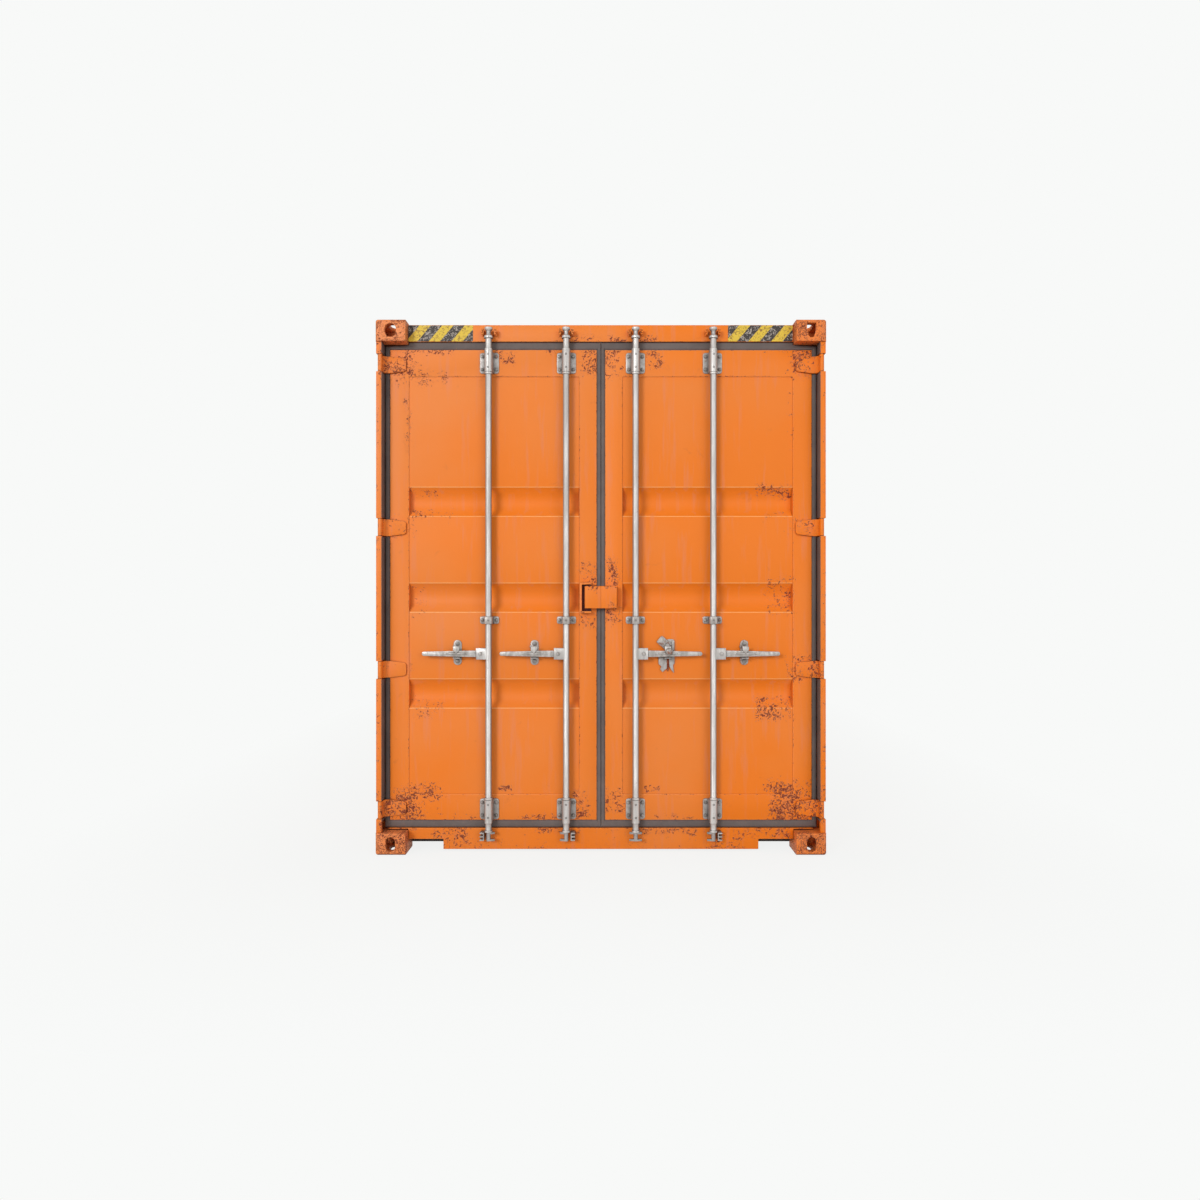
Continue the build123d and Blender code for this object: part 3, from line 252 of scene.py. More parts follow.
def enamel(name, paint, faded, base_wear, flake_scale, heaviest=0.485):
    """Alkyd container enamel over weathering steel: satin, sun-faded, flaked to brown rust."""
    material, tree, shader, place = new_material(name)
    # Broad fading of the colour, about a metre across, and more of the paler colour on the left:
    # painted light
    cloud = add(tree, "TexNoise", {"Vector": place, "Scale": 1.3, "Detail": 3.0})
    parts = add(tree, "SeparateXYZ", {0: place}).node.outputs
    cloud = add(tree, "Math", {0: parts["X"], 1: -0.10, 2: cloud}, operation="MULTIPLY_ADD")
    cloud = add(tree, "MapRange", {"Value": cloud, "From Min": 0.40, "From Max": 0.68})
    colour = add(tree, "Mix", {0: cloud, 6: paint, 7: faded})
    # Faint pink marks that run down, 30 mm wide
    run = add(tree, "Mapping", {"Vector": place, "Scale": (14.0, 14.0, 1.3)})
    run = add(tree, "TexNoise", {"Vector": run, "Scale": 2.0, "Detail": 4.0, "Roughness": 0.6})
    run = add(tree, "MapRange", {"Value": run, "From Min": 0.54, "From Max": 0.76, "To Max": 0.50})
    colour = add(tree, "Mix", {0: run, 6: colour, 7: "#DE845E"})
    # Grey rub marks a hand wide, few and far between
    rub = add(tree, "TexNoise", {"Vector": place, "Scale": 9.0, "Detail": 5.0, "Roughness": 0.6,
                                 "Distortion": 0.6})
    rub = add(tree, "MapRange", {"Value": rub, "From Min": 0.66, "From Max": 0.80, "To Max": 0.35})
    colour = add(tree, "Mix", {0: rub, 6: colour, 7: "#A85A30"})
    # Worn places, broken up into patches about 80 mm across
    worn = add(tree, "Group", node_tree=WORN_GROUP)
    patch = add(tree, "TexNoise", {"Vector": place, "Scale": 12.0, "Detail": 2.0})
    patch = add(tree, "MapRange", {"Value": patch, "From Min": 0.36, "From Max": 0.58,
                                   "To Min": 0.66, "To Max": 1.0})
    wear = add(tree, "Math", {0: worn, 1: base_wear}, operation="MAXIMUM")
    wear = add(tree, "Math", {0: wear, 1: patch}, operation="MULTIPLY")
    # Flakes 4 to 20 mm across with torn, curling edges
    flake = add(tree, "TexNoise", {"Vector": place, "Scale": flake_scale, "Detail": 5.0,
                                   "Roughness": 0.66, "Distortion": 1.2})
    limit = add(tree, "MapRange", {"Value": wear, "To Min": 0.78, "To Max": heaviest})
    depth = add(tree, "Math", {0: flake, 1: limit}, operation="SUBTRACT")
    chip = add(tree, "MapRange", {"Value": depth, "From Min": 0.0, "From Max": 0.014})
    # A pale rim round each flake is painted highlight, where a curled edge would catch the light
    rim = add(tree, "MapRange", {"Value": depth, "From Min": -0.020, "From Max": -0.004,
                                 "To Max": 0.8})
    stain = add(tree, "MapRange", {"Value": depth, "From Min": -0.08, "From Max": 0.0,
                                   "To Max": 0.40})
    # Rust from deep to purplish brown, finely grained
    grain = add(tree, "TexNoise", {"Vector": place, "Scale": 160.0, "Detail": 3.0})
    tone = add(tree, "MapRange", {"Value": grain, "From Min": 0.38, "From Max": 0.62})
    rust = add(tree, "Mix", {0: tone, 6: "#6A2A18", 7: "#A05236"})
    colour = add(tree, "Mix", {0: stain, 6: colour, 7: "#CC6236"})
    colour = add(tree, "Mix", {0: rim, 6: colour, 7: "#EFA070"})
    colour = add(tree, "Mix", {0: chip, 6: colour, 7: rust})
    # Painted shade and grime in the corners and creases
    colour = corner_shade_and_grime(tree, colour, "#5E2412", 0.016, 0.78, 0.25, 0.75)
    rough = add(tree, "MapRange", {"Value": chip, "To Min": 0.52, "To Max": 0.88})
    # The flakes lie 1 mm deep, in paint on gently uneven sheet
    waves = add(tree, "TexNoise", {"Vector": place, "Scale": 3.2, "Detail": 2.0})
    height = add(tree, "Math", {0: chip, 1: -0.0010}, operation="MULTIPLY")
    height = add(tree, "Math", {0: waves, 1: 0.006, 2: height}, operation="MULTIPLY_ADD")
    bump = add(tree, "Bump", {"Height": height, "Strength": 0.9, "Distance": 1.0})
    fill(tree, shader, {"Base Color": colour, "Specular IOR Level": 0.35, "Roughness": rough,
                        "Normal": bump})
    return material


def galvanised(name, bright, dull, stain_share, stretch, flank_shade=None):
    """Hot-dip galvanised steel: pale zinc, dull, mottled and streaked, with brown stains."""
    material, tree, shader, place = new_material(name)
    # Mottling 8 to 40 mm across, drawn out along the rods
    long = add(tree, "Mapping", {"Vector": place, "Scale": (1.0, 1.0, stretch)})
    cloud = add(tree, "TexNoise", {"Vector": long, "Scale": 45.0, "Detail": 5.0, "Roughness": 0.65})
    cloud = add(tree, "MapRange", {"Value": cloud, "From Min": 0.36, "From Max": 0.64})
    colour = add(tree, "Mix", {0: cloud, 6: bright, 7: dull})
    if flank_shade:
        # Painted shade: a round bar is painted grey along its flanks, where it turns from the light,
        # and stays bright in front
        parts = add(tree, "SeparateXYZ", {0: place}).node.outputs
        flank_shading = add(tree, "MapRange", {"Value": parts["Y"], "From Min": ROD_Y - 0.0155,
                                        "From Max": ROD_Y - 0.0060})
        colour = add(tree, "Mix", {0: flank_shading, 6: colour, 7: flank_shade})
    fleck = add(tree, "TexNoise", {"Vector": place, "Scale": 60.0, "Detail": 5.0, "Roughness": 0.7,
                                   "Distortion": 0.8})
    stain = add(tree, "MapRange", {"Value": fleck, "From Min": 0.66 - stain_share,
                                   "From Max": 0.70 - stain_share, "To Max": 0.9})
    tone = add(tree, "TexNoise", {"Vector": place, "Scale": 150.0})
    rust = add(tree, "Mix", {0: tone, 6: "#4E3A32", 7: "#A8613C"})
    colour = add(tree, "Mix", {0: stain, 6: colour, 7: rust})
    # Grey painted shade and grime behind the bars, and brown painted shade and grime in the corners
    colour = corner_shade_and_grime(tree, colour, "#5E5854", 0.080, 0.86, 0.35, 0.80)
    colour = corner_shade_and_grime(tree, colour, "#4A3830", 0.010, 0.85, 0.40, 0.90)
    metal = add(tree, "MapRange", {"Value": stain, "To Min": 0.30, "To Max": 0.05})
    rough = add(tree, "MapRange", {"Value": cloud, "To Min": 0.34, "To Max": 0.50})
    height = add(tree, "Math", {0: fleck, 1: 0.0008}, operation="MULTIPLY")
    bump = add(tree, "Bump", {"Height": height, "Strength": 0.7, "Distance": 1.0})
    fill(tree, shader, {"Base Color": colour, "Metallic": metal, "Roughness": rough, "Normal": bump})
    return material


def seal_rubber():
    """Extruded synthetic rubber door seal: matte brown-grey, chalky where it has weathered."""
    material, tree, shader, place = new_material("weathered_seal_rubber")
    cloud = add(tree, "TexNoise", {"Vector": place, "Scale": 5.0, "Detail": 6.0, "Roughness": 0.65})
    cloud = add(tree, "MapRange", {"Value": cloud, "From Min": 0.35, "From Max": 0.7})
    colour = add(tree, "Mix", {0: cloud, 6: "#5A4F4C", 7: "#6E625E"})
    speck = add(tree, "TexNoise", {"Vector": place, "Scale": 90.0, "Detail": 4.0})
    speck = add(tree, "MapRange", {"Value": speck, "From Min": 0.66, "From Max": 0.72, "To Max": 0.6})
    colour = add(tree, "Mix", {0: speck, 6: colour, 7: "#8F6A52"})
    # Painted shade and grime in the seal's creases
    colour = corner_shade_and_grime(tree, colour, "#2A1D19", 0.012, 0.50, 0.10)
    bump = add(tree, "Bump", {"Height": cloud, "Strength": 0.2, "Distance": 0.001})
    fill(tree, shader, {"Base Color": colour, "Roughness": 0.72, "Normal": bump})
    return material


def hazard_film(start):
    """Printed vinyl film with yellow and black stripes, scuffed to rust and to pale primer."""
    name = "hazard_film_left" if start < 0 else "hazard_film_right"
    material, tree, shader, place = new_material(name)
    parts = add(tree, "SeparateXYZ", {0: place}).node.outputs
    across = add(tree, "Math", {0: parts["X"], 1: start + STRIPE_START}, operation="SUBTRACT")
    rise = add(tree, "Math", {0: parts["Z"], 1: DECAL_LOW}, operation="SUBTRACT")
    lean = add(tree, "Math", {0: rise, 1: STRIPE_LEAN, 2: across}, operation="MULTIPLY_ADD")
    step = add(tree, "Math", {0: lean, 1: STRIPE_PITCH}, operation="DIVIDE")
    phase = add(tree, "Math", {0: step}, operation="FRACT")
    yellow = add(tree, "Math", {0: phase, 1: 0.5}, operation="LESS_THAN")
    colour = add(tree, "Mix", {0: yellow, 6: "#2C221E", 7: "#DDBB38"})
    # Scratches through the yellow, and specks of primer through the black, 4 to 12 mm across
    fleck = add(tree, "TexNoise", {"Vector": place, "Scale": 70.0, "Detail": 5.0, "Roughness": 0.7,
                                   "Distortion": 1.2})
    scuff = add(tree, "MapRange", {"Value": fleck, "From Min": 0.54, "From Max": 0.57,
                                   "To Max": 0.85})
    worn = add(tree, "Mix", {0: yellow, 6: "#B9ADA2", 7: "#7E5526"})
    colour = add(tree, "Mix", {0: scuff, 6: colour, 7: worn})
    bump = add(tree, "Bump", {"Height": fleck, "Strength": 0.3, "Distance": 0.001})
    fill(tree, shader, {"Base Color": colour, "Roughness": 0.55, "Normal": bump})
    return material


def dark_fill(name, thin, thick):
    """A dark fill with a dull gleam where it is thick: painted shade in hollows, and old lubricant in
    the holes.
    """
    material, tree, shader, place = new_material(name)
    lumps = add(tree, "TexNoise", {"Vector": place, "Scale": 400.0, "Detail": 2.0})
    colour = add(tree, "Mix", {0: lumps, 6: thin, 7: thick})
    fill(tree, shader, {"Base Color": colour, "Roughness": 0.6})
    return material


def plywood():
    """Tropical hardwood floor plywood: brown, oiled, with grain along the box and scuffs."""
    material, tree, shader, place = new_material("oiled_floor_plywood")
    long_grain = add(tree, "Mapping", {"Vector": place, "Scale": (60.0, 2.5, 60.0)})
    grain = add(tree, "TexNoise", {"Vector": long_grain, "Scale": 1.0, "Detail": 6.0,
                                   "Roughness": 0.6, "Distortion": 0.4})
    colour = add(tree, "Mix", {0: grain, 6: "#6E4A33", 7: "#A87B56"})
    darkening = add(tree, "TexNoise", {"Vector": place, "Scale": 3.0, "Detail": 6.0, "Roughness": 0.7})
    darkening = add(tree, "MapRange", {"Value": darkening, "From Min": 0.45, "From Max": 0.7, "To Max": 0.6})
    colour = add(tree, "Mix", {0: darkening, 6: colour, 7: "#4B382C"})
    bump = add(tree, "Bump", {"Height": grain, "Strength": 0.4, "Distance": 0.001})
    fill(tree, shader, {"Base Color": colour, "Roughness": 0.62, "Normal": bump})
    return material


def underseal():
    """Black-brown bitumen underseal, sprayed thick and matte, grey with road dust."""
    material, tree, shader, place = new_material("bitumen_underseal")
    dust = add(tree, "TexNoise", {"Vector": place, "Scale": 7.0, "Detail": 6.0, "Roughness": 0.7})
    dust = add(tree, "MapRange", {"Value": dust, "From Min": 0.4, "From Max": 0.7})
    colour = add(tree, "Mix", {0: dust, 6: "#2A2420", 7: "#5A4E44"})
    lumps = add(tree, "TexNoise", {"Vector": place, "Scale": 180.0, "Detail": 3.0})
    bump = add(tree, "Bump", {"Height": lumps, "Strength": 0.6, "Distance": 0.001})
    fill(tree, shader, {"Base Color": colour, "Roughness": 0.8, "Normal": bump})
    return material


PAINT = enamel("orange_enamel", "#EE7A0E", "#EA8130", 0.0, 62.0)
WORN_PAINT = enamel("chipped_orange_enamel", "#EE8024", "#F08E44", 0.72, 70.0)
# A paler enamel for the painted highlight lines along the panels' folds
FOLD_HIGHLIGHT_PAINT = enamel("orange_enamel_painted_highlight", "#FCAE66", "#FCB674", 0.3, 62.0)
CASTING_PAINT = enamel("rusted_casting_enamel", "#EC8034", "#EE9054", 0.92, 125.0, 0.49)
# Rods and sleeves, with their grey flanks painted shade
BAR_ZINC = galvanised("galvanised_bar_painted_flank_shade", "#D6D3D0", "#B4AFAB", 0.0, 0.08, "#8A8581")
ZINC = galvanised("hot_dip_galvanised_steel", "#C6C2BE", "#9B9691", 0.02, 0.5)
PLATE_ZINC = galvanised("hot_dip_galvanised_plate", "#B9B4B0", "#98928D", 0.03, 0.6)
STAINED_ZINC = galvanised("stained_galvanised_steel", "#B4AFAA", "#8E8781", 0.12, 0.6)
HEAVY_RUST = enamel("heavily_rusted_steel", "#A8603C", "#B0704C", 1.0, 90.0, 0.40)
BOLT_STEEL = galvanised("weathered_bolt_steel", "#98938E", "#726C67", 0.06, 1.0)
# Near-black fills: painted shade with old lubricant in shallow holes, and painted shade in the
# clamp's hollow
HOLE_SHADE_AND_GREASE = dark_fill("black_hole_shade_and_grease", "#1D1613", "#0C0908")
CLAMP_HOLLOW_SHADE = dark_fill("painted_shade_dark_maroon", "#64221A", "#3A100E")
RUBBER = seal_rubber()
PLYWOOD = plywood()
UNDERSEAL = underseal()


# Edges sharper than the first angle are rounded, and those flatter than the second shade smooth
BEVEL_ANGLE = math.radians(40)
SMOOTH_ANGLE = math.radians(35)
# Places nearer than this are the same place
NEAR = 0.0001


def only(piece):
    """Leaves one piece selected and active."""
    bpy.ops.object.select_all(action="DESELECT")
    piece.select_set(True)
    bpy.context.view_layer.objects.active = piece


def apply_modifier(piece, kind, **settings):
    """Adds a modifier to a piece and applies it."""
    only(piece)
    bpy.ops.object.modifier_add(type=kind)
    modifier = piece.modifiers[-1]
    for name, value in settings.items():
        setattr(modifier, name, value)
    bpy.ops.object.modifier_apply(modifier=modifier.name)


def rounded(node, width, material, edge_material=None, segments=2):
    """A copy of a node with its sharp edges rounded, which then stands for it."""
    piece = finished_copy(node, material, edge_material or material)
    soften(piece, width, segments, material=1 if edge_material else -1)
    bpy.ops.object.shade_smooth_by_angle(angle=SMOOTH_ANGLE)
    return piece


def finished_copy(node, material, edge_material):
    """A cleaned copy of a node, with its name, body and materials, which stands for it."""
    source = frame["nodes"][node]
    piece = source.copy()
    piece.data = source.data.copy()
    piece.parent = None
    del piece["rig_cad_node"]
    bpy.context.scene.collection.objects.link(piece)
    body = source["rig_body"]
    only(piece)
    bpy.ops.object.mode_set(mode="EDIT")
    bpy.ops.mesh.select_all(action="SELECT")
    bpy.ops.mesh.remove_doubles(threshold=0.00001)
    bpy.ops.mesh.dissolve_limited(angle_limit=math.radians(1))
    bpy.ops.object.mode_set(mode="OBJECT")
    piece.data.materials.clear()
    piece.data.materials.append(material)
    piece.data.materials.append(edge_material)
    piece.name = "finished_" + node
    piece.data.name = piece.name
    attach(piece, body)
    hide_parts(node)
    return piece


def paint_node(node, material):
    """Gives a node that stays as it is its material."""
    data = frame["nodes"][node].data
    data.materials.clear()
    data.materials.append(material)


def clear_selection(piece, kind):
    """Deselects all of a piece, ready to pick from its faces, edges or vertices."""
    only(piece)
    bpy.ops.object.mode_set(mode="EDIT")
    bpy.ops.mesh.select_mode(type=kind)
    bpy.ops.mesh.select_all(action="DESELECT")
    bpy.ops.object.mode_set(mode="OBJECT")


def select_faces(piece, wanted):
    """Goes into edit mode with those faces selected whose middle and normal pass a test."""
    clear_selection(piece, "FACE")
    for face in piece.data.polygons:
        face.select = wanted(face.center, face.normal)
    bpy.ops.object.mode_set(mode="EDIT")


def select_edges(piece, wanted):
    """Goes into edit mode with those edges selected whose middle and direction pass a test."""
    clear_selection(piece, "EDGE")
    places = [vertex.co for vertex in piece.data.vertices]
    for edge in piece.data.edges:
        a, b = places[edge.vertices[0]], places[edge.vertices[1]]
        edge.select = wanted((a + b) / 2, (b - a).normalized())
    bpy.ops.object.mode_set(mode="EDIT")


def delete_faces(piece, wanted):
    """Deletes those faces whose middle and normal pass a test."""
    select_faces(piece, wanted)
    bpy.ops.mesh.delete(type="FACE")
    bpy.ops.object.mode_set(mode="OBJECT")


def bevel_edges(piece, wanted, width, segments, **settings):
    """Rounds those edges whose middle and direction pass a test."""
    select_edges(piece, wanted)
    bpy.ops.mesh.bevel(offset=width, segments=segments, affect="EDGES", **settings)
    bpy.ops.object.mode_set(mode="OBJECT")


def extrude(step):
    """Extrudes what is selected by a step."""
    bpy.ops.mesh.extrude_region_move(TRANSFORM_OT_translate={"value": step})


def set_in_place():
    """Takes the selected piece's place, turn and size into its mesh."""
    bpy.ops.object.transform_apply(location=True, rotation=True, scale=True)


def block(low, high):
    """A box between two corners, to be shaped further."""
    bpy.ops.object.select_all(action="DESELECT")
    bpy.ops.mesh.primitive_cube_add(size=1, location=[(a + b) / 2 for a, b in zip(low, high)])
    piece = bpy.context.object
    piece.scale = [b - a for a, b in zip(low, high)]
    set_in_place()
    return piece


def soften(piece, width, segments=2, **settings):
    """Rounds a piece's sharp edges."""
    if width:
        apply_modifier(piece, "BEVEL", width=width, segments=segments, limit_method="ANGLE",
                       angle_limit=BEVEL_ANGLE, **settings)
    return piece


def round_plate(low, high, corner, rim=0.001):
    """A flat plate that faces the door end, with round corners and softened rims."""
    piece = block(low, high)
    bevel_edges(piece, lambda middle, run: abs(run.y) > 0.9, corner, 5)
    return soften(piece, rim)


def cut_plate(outline, back, front, rim=0.001):
    """A plate with an outline of (x, z) corners, drawn corner by corner, filled and thickened."""
    bpy.ops.object.select_all(action="DESELECT")
    x, z = outline[0]
    bpy.ops.mesh.primitive_plane_add(size=0.01, location=(x, back, z))
    piece = bpy.context.object
    bpy.ops.object.mode_set(mode="EDIT")
    bpy.ops.mesh.select_mode(type="VERT")
    bpy.ops.mesh.select_all(action="SELECT")
    bpy.ops.mesh.merge(type="CENTER")
    for next_x, next_z in outline[1:]:
        extrude((next_x - x, 0, next_z - z))
        x, z = next_x, next_z
    bpy.ops.mesh.select_all(action="SELECT")
    bpy.ops.mesh.edge_face_add()
    extrude((0, front - back, 0))
    bpy.ops.mesh.select_all(action="SELECT")
    bpy.ops.mesh.normals_make_consistent(inside=False)
    bpy.ops.object.mode_set(mode="OBJECT")
    only(piece)
    set_in_place()
    return soften(piece, rim)


def turned(x, y, steps, sides=32):
    """A round bar about an upright axis, from (height, radius) steps, ring upon ring."""
    bpy.ops.object.select_all(action="DESELECT")
    (z, radius), *rest = steps
    bpy.ops.mesh.primitive_circle_add(vertices=sides, radius=radius, fill_type="NGON",
                                      location=(x, y, z))
    piece = bpy.context.object
    bpy.ops.object.mode_set(mode="EDIT")
    for next_z, next_radius in rest:
        extrude((0, 0, next_z - z))
        ratio = next_radius / radius
        bpy.ops.transform.resize(value=(ratio, ratio, 1), center_override=(x, y, next_z))
        z, radius = next_z, next_radius
    bpy.ops.mesh.select_all(action="SELECT")
    bpy.ops.mesh.normals_make_consistent(inside=False)
    bpy.ops.object.mode_set(mode="OBJECT")
    set_in_place()
    return piece


def disc(x, middle, z, radius, depth):
    """A disc that looks out of the door end, to be shaped further."""
    bpy.ops.object.select_all(action="DESELECT")
    bpy.ops.mesh.primitive_cylinder_add(vertices=16, radius=radius, depth=depth,
                                        location=(x, middle, z), rotation=(math.radians(90), 0, 0))
    set_in_place()
    return bpy.context.object


def ball(place, radii, segments, rings):
    """An egg shape with three radii, to be shaped further."""
    bpy.ops.object.select_all(action="DESELECT")
    bpy.ops.mesh.primitive_uv_sphere_add(segments=segments, ring_count=rings, radius=1,
                                         location=place)
    piece = bpy.context.object
    piece.scale = radii
    set_in_place()
    return piece


def bolt_head(x, face, z, radius, height):
    """A domed bolt head on its washer, on a face that looks out of the door end."""
    piece = disc(x, face - height * 0.2, z, radius, height * 0.4)
    select_faces(piece, lambda middle, normal: normal.y < -0.9)
    bpy.ops.mesh.inset(thickness=radius * 0.25)
    extrude((0, -height * 0.45, 0))
    bpy.ops.mesh.inset(thickness=radius * 0.30)
    bpy.ops.transform.translate(value=(0, -height * 0.15, 0))
    bpy.ops.object.mode_set(mode="OBJECT")
    return piece


def shade_and_grease_hole(x, face, z, radius):
    """A drilled hole with a rolled rim, 1.8 mm deep, its bottom near-black: painted shade and old
    lubricant.
    """
    piece = disc(x, face, z, radius, 0.003)
    select_faces(piece, lambda middle, normal: normal.y < -0.9)
    bpy.ops.mesh.inset(thickness=radius * 0.1)
    extrude((0, 0.0018, 0))
    bpy.ops.object.mode_set(mode="OBJECT")
    return dressed(piece, HOLE_SHADE_AND_GREASE)


def dressed(piece, material):
    """Gives a piece one material all over."""
    piece.data.materials.clear()
    piece.data.materials.append(material)
    return piece


def joined(pieces):
    """Joins pieces into the first."""
    bpy.ops.object.select_all(action="DESELECT")
    for piece in pieces:
        piece.select_set(True)
    bpy.context.view_layer.objects.active = pieces[0]
    bpy.ops.object.join()
    return pieces[0]


def copied(piece, move):
    """A copy with its own mesh, moved to its place."""
    only(piece)
    bpy.ops.object.duplicate()
    copy = bpy.context.object
    bpy.ops.transform.translate(value=move)
    set_in_place()
    return copy


def placed(piece, name, body, slot, *nodes):
    """Names a finished piece, and says what it rides on and which nodes it stands for."""
    only(piece)
    bpy.ops.object.shade_smooth_by_angle(angle=SMOOTH_ANGLE)
    piece.name = name
    piece.data.name = name
    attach(piece, body)
    if nodes:
        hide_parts(*nodes)
    return piece


def door_of(x):
    """The leaf that a place across the door end is on."""
    return "left" if x < 0 else "right"


# The nodes that keep their shape, with their paint, and those that get round edges

for node in ("left_side_wall", "right_side_wall", "front_wall", "roof_panel", "wall_vents"):
    paint_node(node, PAINT)
for node in ("cross_members", "fork_pockets"):
    paint_node(node, UNDERSEAL)
paint_node("floor_boards", PLYWOOD)
paint_node("hinge_pins", STAINED_ZINC)

for node in ("door_header", "door_sill", "left_door_post", "right_door_post", "front_posts",
             "front_top_rail", "front_bottom_rail", "top_side_rails", "bottom_side_rails"):
    rounded(node, 0.003, PAINT, WORN_PAINT)
for node in ("door_end_castings", "front_end_castings"):
    rounded(node, 0.005, CASTING_PAINT, None, 3)
for side in ("left", "right"):
    rounded(f"{side}_door_frame", 0.004, PAINT, WORN_PAINT)
    rounded(f"{side}_hinge_blades", 0.003, PAINT, WORN_PAINT)
for number in range(1, 5):
    rounded(f"lock_rod_{number}", 0.0015, BAR_ZINC)
    rounded(f"handle_{number}", 0.002, ZINC)
rounded("handle_catch", 0.001, STAINED_ZINC)
bottom_keepers = rounded("cam_keepers", 0.0015, PLATE_ZINC)

# The top keepers are modelled anew further down
delete_faces(bottom_keepers, lambda middle, normal: middle.z > HIGH[2] / 2)

for side in ("left", "right"):
    panel = finished_copy(f"{side}_door_panel", PAINT, FOLD_HIGHLIGHT_PAINT)
    # The ends are shut by the stiles
    delete_faces(panel, lambda middle, normal: abs(normal.x) > 0.99)
    # The panels' front folds are rounded and given the paler enamel: painted highlight lines
    bevel_edges(panel, lambda middle, run: abs(run.x) > 0.99
                and abs(middle.y - PANEL_FACE) < 5 * NEAR
                and PANEL_LOW[2] + 0.01 < middle.z < PANEL_HIGH[2] - 0.01, 0.0022, 2, material=1)
    bpy.ops.object.shade_smooth_by_angle(angle=SMOOTH_ANGLE)


# Rod brackets: a plate with four bolts, and a sleeve with its foot on the plate

BRACKET_HALF_WIDTH, BRACKET_HALF_HEIGHT = 0.052, 0.0565
BRACKET_PLATE = 0.005
SLEEVE_RADIUS = 0.021
SLEEVE_HALF = 0.0575
SLEEVE_BORE = 0.0175
BOLT_ACROSS, BOLT_UP = 0.0385, 0.0355
BOLT_RADIUS, BOLT_HEIGHT = 0.0095, 0.006
SLEEVE_HOLE = 0.0050
GUIDE_HALF = 0.020
GUIDE_BOLT_RADIUS = 0.009
GUIDE_HOLE = 0.0045


def rod_bracket(number):
    """The bracket at a rod's end, modelled about the rod's axis at height 0."""
    front = LEAF_FACE - BRACKET_PLATE
    plate = round_plate((-BRACKET_HALF_WIDTH, front, -BRACKET_HALF_HEIGHT),
                        (BRACKET_HALF_WIDTH, LEAF_FACE, BRACKET_HALF_HEIGHT), 0.013, 0.0012)
    foot = block((-SLEEVE_RADIUS, ROD_Y, -SLEEVE_HALF + 0.002),
                 (SLEEVE_RADIUS, front, SLEEVE_HALF - 0.002))
    select_faces(foot, lambda middle, normal: normal.y > 0.9)
    bpy.ops.transform.resize(value=(1.22, 1, 1), center_override=(0, front, 0))
    bpy.ops.object.mode_set(mode="OBJECT")
    soften(foot, 0.0015)
    lip, rise = 0.0012, 0.006
    sleeve = turned(0, ROD_Y, [(-SLEEVE_HALF, SLEEVE_BORE), (-SLEEVE_HALF, SLEEVE_RADIUS + lip),
                               (-SLEEVE_HALF + rise, SLEEVE_RADIUS + lip),
                               (-SLEEVE_HALF + rise + lip, SLEEVE_RADIUS),
                               (SLEEVE_HALF - rise - lip, SLEEVE_RADIUS),
                               (SLEEVE_HALF - rise, SLEEVE_RADIUS + lip),
                               (SLEEVE_HALF, SLEEVE_RADIUS + lip), (SLEEVE_HALF, SLEEVE_BORE)])
    parts = [dressed(plate, PLATE_ZINC), dressed(foot, PLATE_ZINC), dressed(sleeve, BAR_ZINC)]
    for side_x in (-1, 1):
        for side_z in (-1, 1):
            bolt = bolt_head(side_x * BOLT_ACROSS, front, side_z * BOLT_UP, BOLT_RADIUS, BOLT_HEIGHT)
            worn = (side_x + side_z + number) % 3 == 0
            parts.append(dressed(bolt, STAINED_ZINC if worn else BOLT_STEEL))
    for side_z in (-1, 1):
        parts.append(shade_and_grease_hole(0, ROD_Y - SLEEVE_RADIUS, side_z * BOLT_UP, SLEEVE_HOLE))
    return joined(parts)


def rod_guide():
    """The strap round the middle of a rod, modelled about the rod's axis at height 0."""
    front = PANEL_FACE - BRACKET_PLATE
    plate = round_plate((-BRACKET_HALF_WIDTH, front, -GUIDE_HALF),
                        (BRACKET_HALF_WIDTH, PANEL_FACE, GUIDE_HALF), 0.010, 0.0012)
    strap = block((-SLEEVE_RADIUS, ROD_Y - SLEEVE_RADIUS, -GUIDE_HALF),
                  (SLEEVE_RADIUS, front, GUIDE_HALF))
    bevel_edges(strap, lambda middle, run: abs(run.z) > 0.9 and middle.y < ROD_Y, 0.009, 4)
    soften(strap, 0.001)
    parts = [dressed(part, PLATE_ZINC) for part in (plate, strap)]
    for side in (-1, 1):
        bolt = bolt_head(side * BOLT_ACROSS, front, 0, GUIDE_BOLT_RADIUS, BOLT_HEIGHT)
        parts.append(dressed(bolt, STAINED_ZINC))
    parts.append(shade_and_grease_hole(0, ROD_Y - SLEEVE_RADIUS, 0, GUIDE_HOLE))
    return joined(parts)


def all_brackets():
    """Top bracket, middle guide and bottom bracket of each rod."""
    low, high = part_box("left_rod_brackets")
    top, bottom = high[2] - BRACKET_HALF_HEIGHT, low[2] + BRACKET_HALF_HEIGHT
    guide = rod_guide()
    for number, x in enumerate(RODS, 1):
        bracket = rod_bracket(number)
        side = door_of(x)
        node = f"{side}_rod_brackets"
        for name, model, z in (("top_bracket", bracket, top), ("bottom_bracket", bracket, bottom),
                               ("middle_guide", guide, GUIDE_MIDDLE)):
            piece = copied(model, (x, 0, z))
            placed(piece, f"{name}_{number}", f"{side}_door", "galvanised_steel", node)
        bpy.data.objects.remove(bracket)
    bpy.data.objects.remove(guide)


all_brackets()


# Handles and what holds them

RETAINER_HALF_WIDTH = 0.022
RETAINER_PLATE = 0.005
RETAINER_BELOW, RETAINER_ABOVE = 0.0645, 0.0725
LEDGE_DROP, LEDGE_REACH, LEDGE_SHEET = 0.0215, 0.046, 0.005
RIB_RADII = (0.078, 0.0042, 0.0085)
PIN_RADIUS, PIN_HEIGHT = 0.0105, 0.006
NUT_ACROSS, NUT_UP, NUT_RADIUS, NUT_HEIGHT = 0.181, 0.0115, 0.021, 0.014

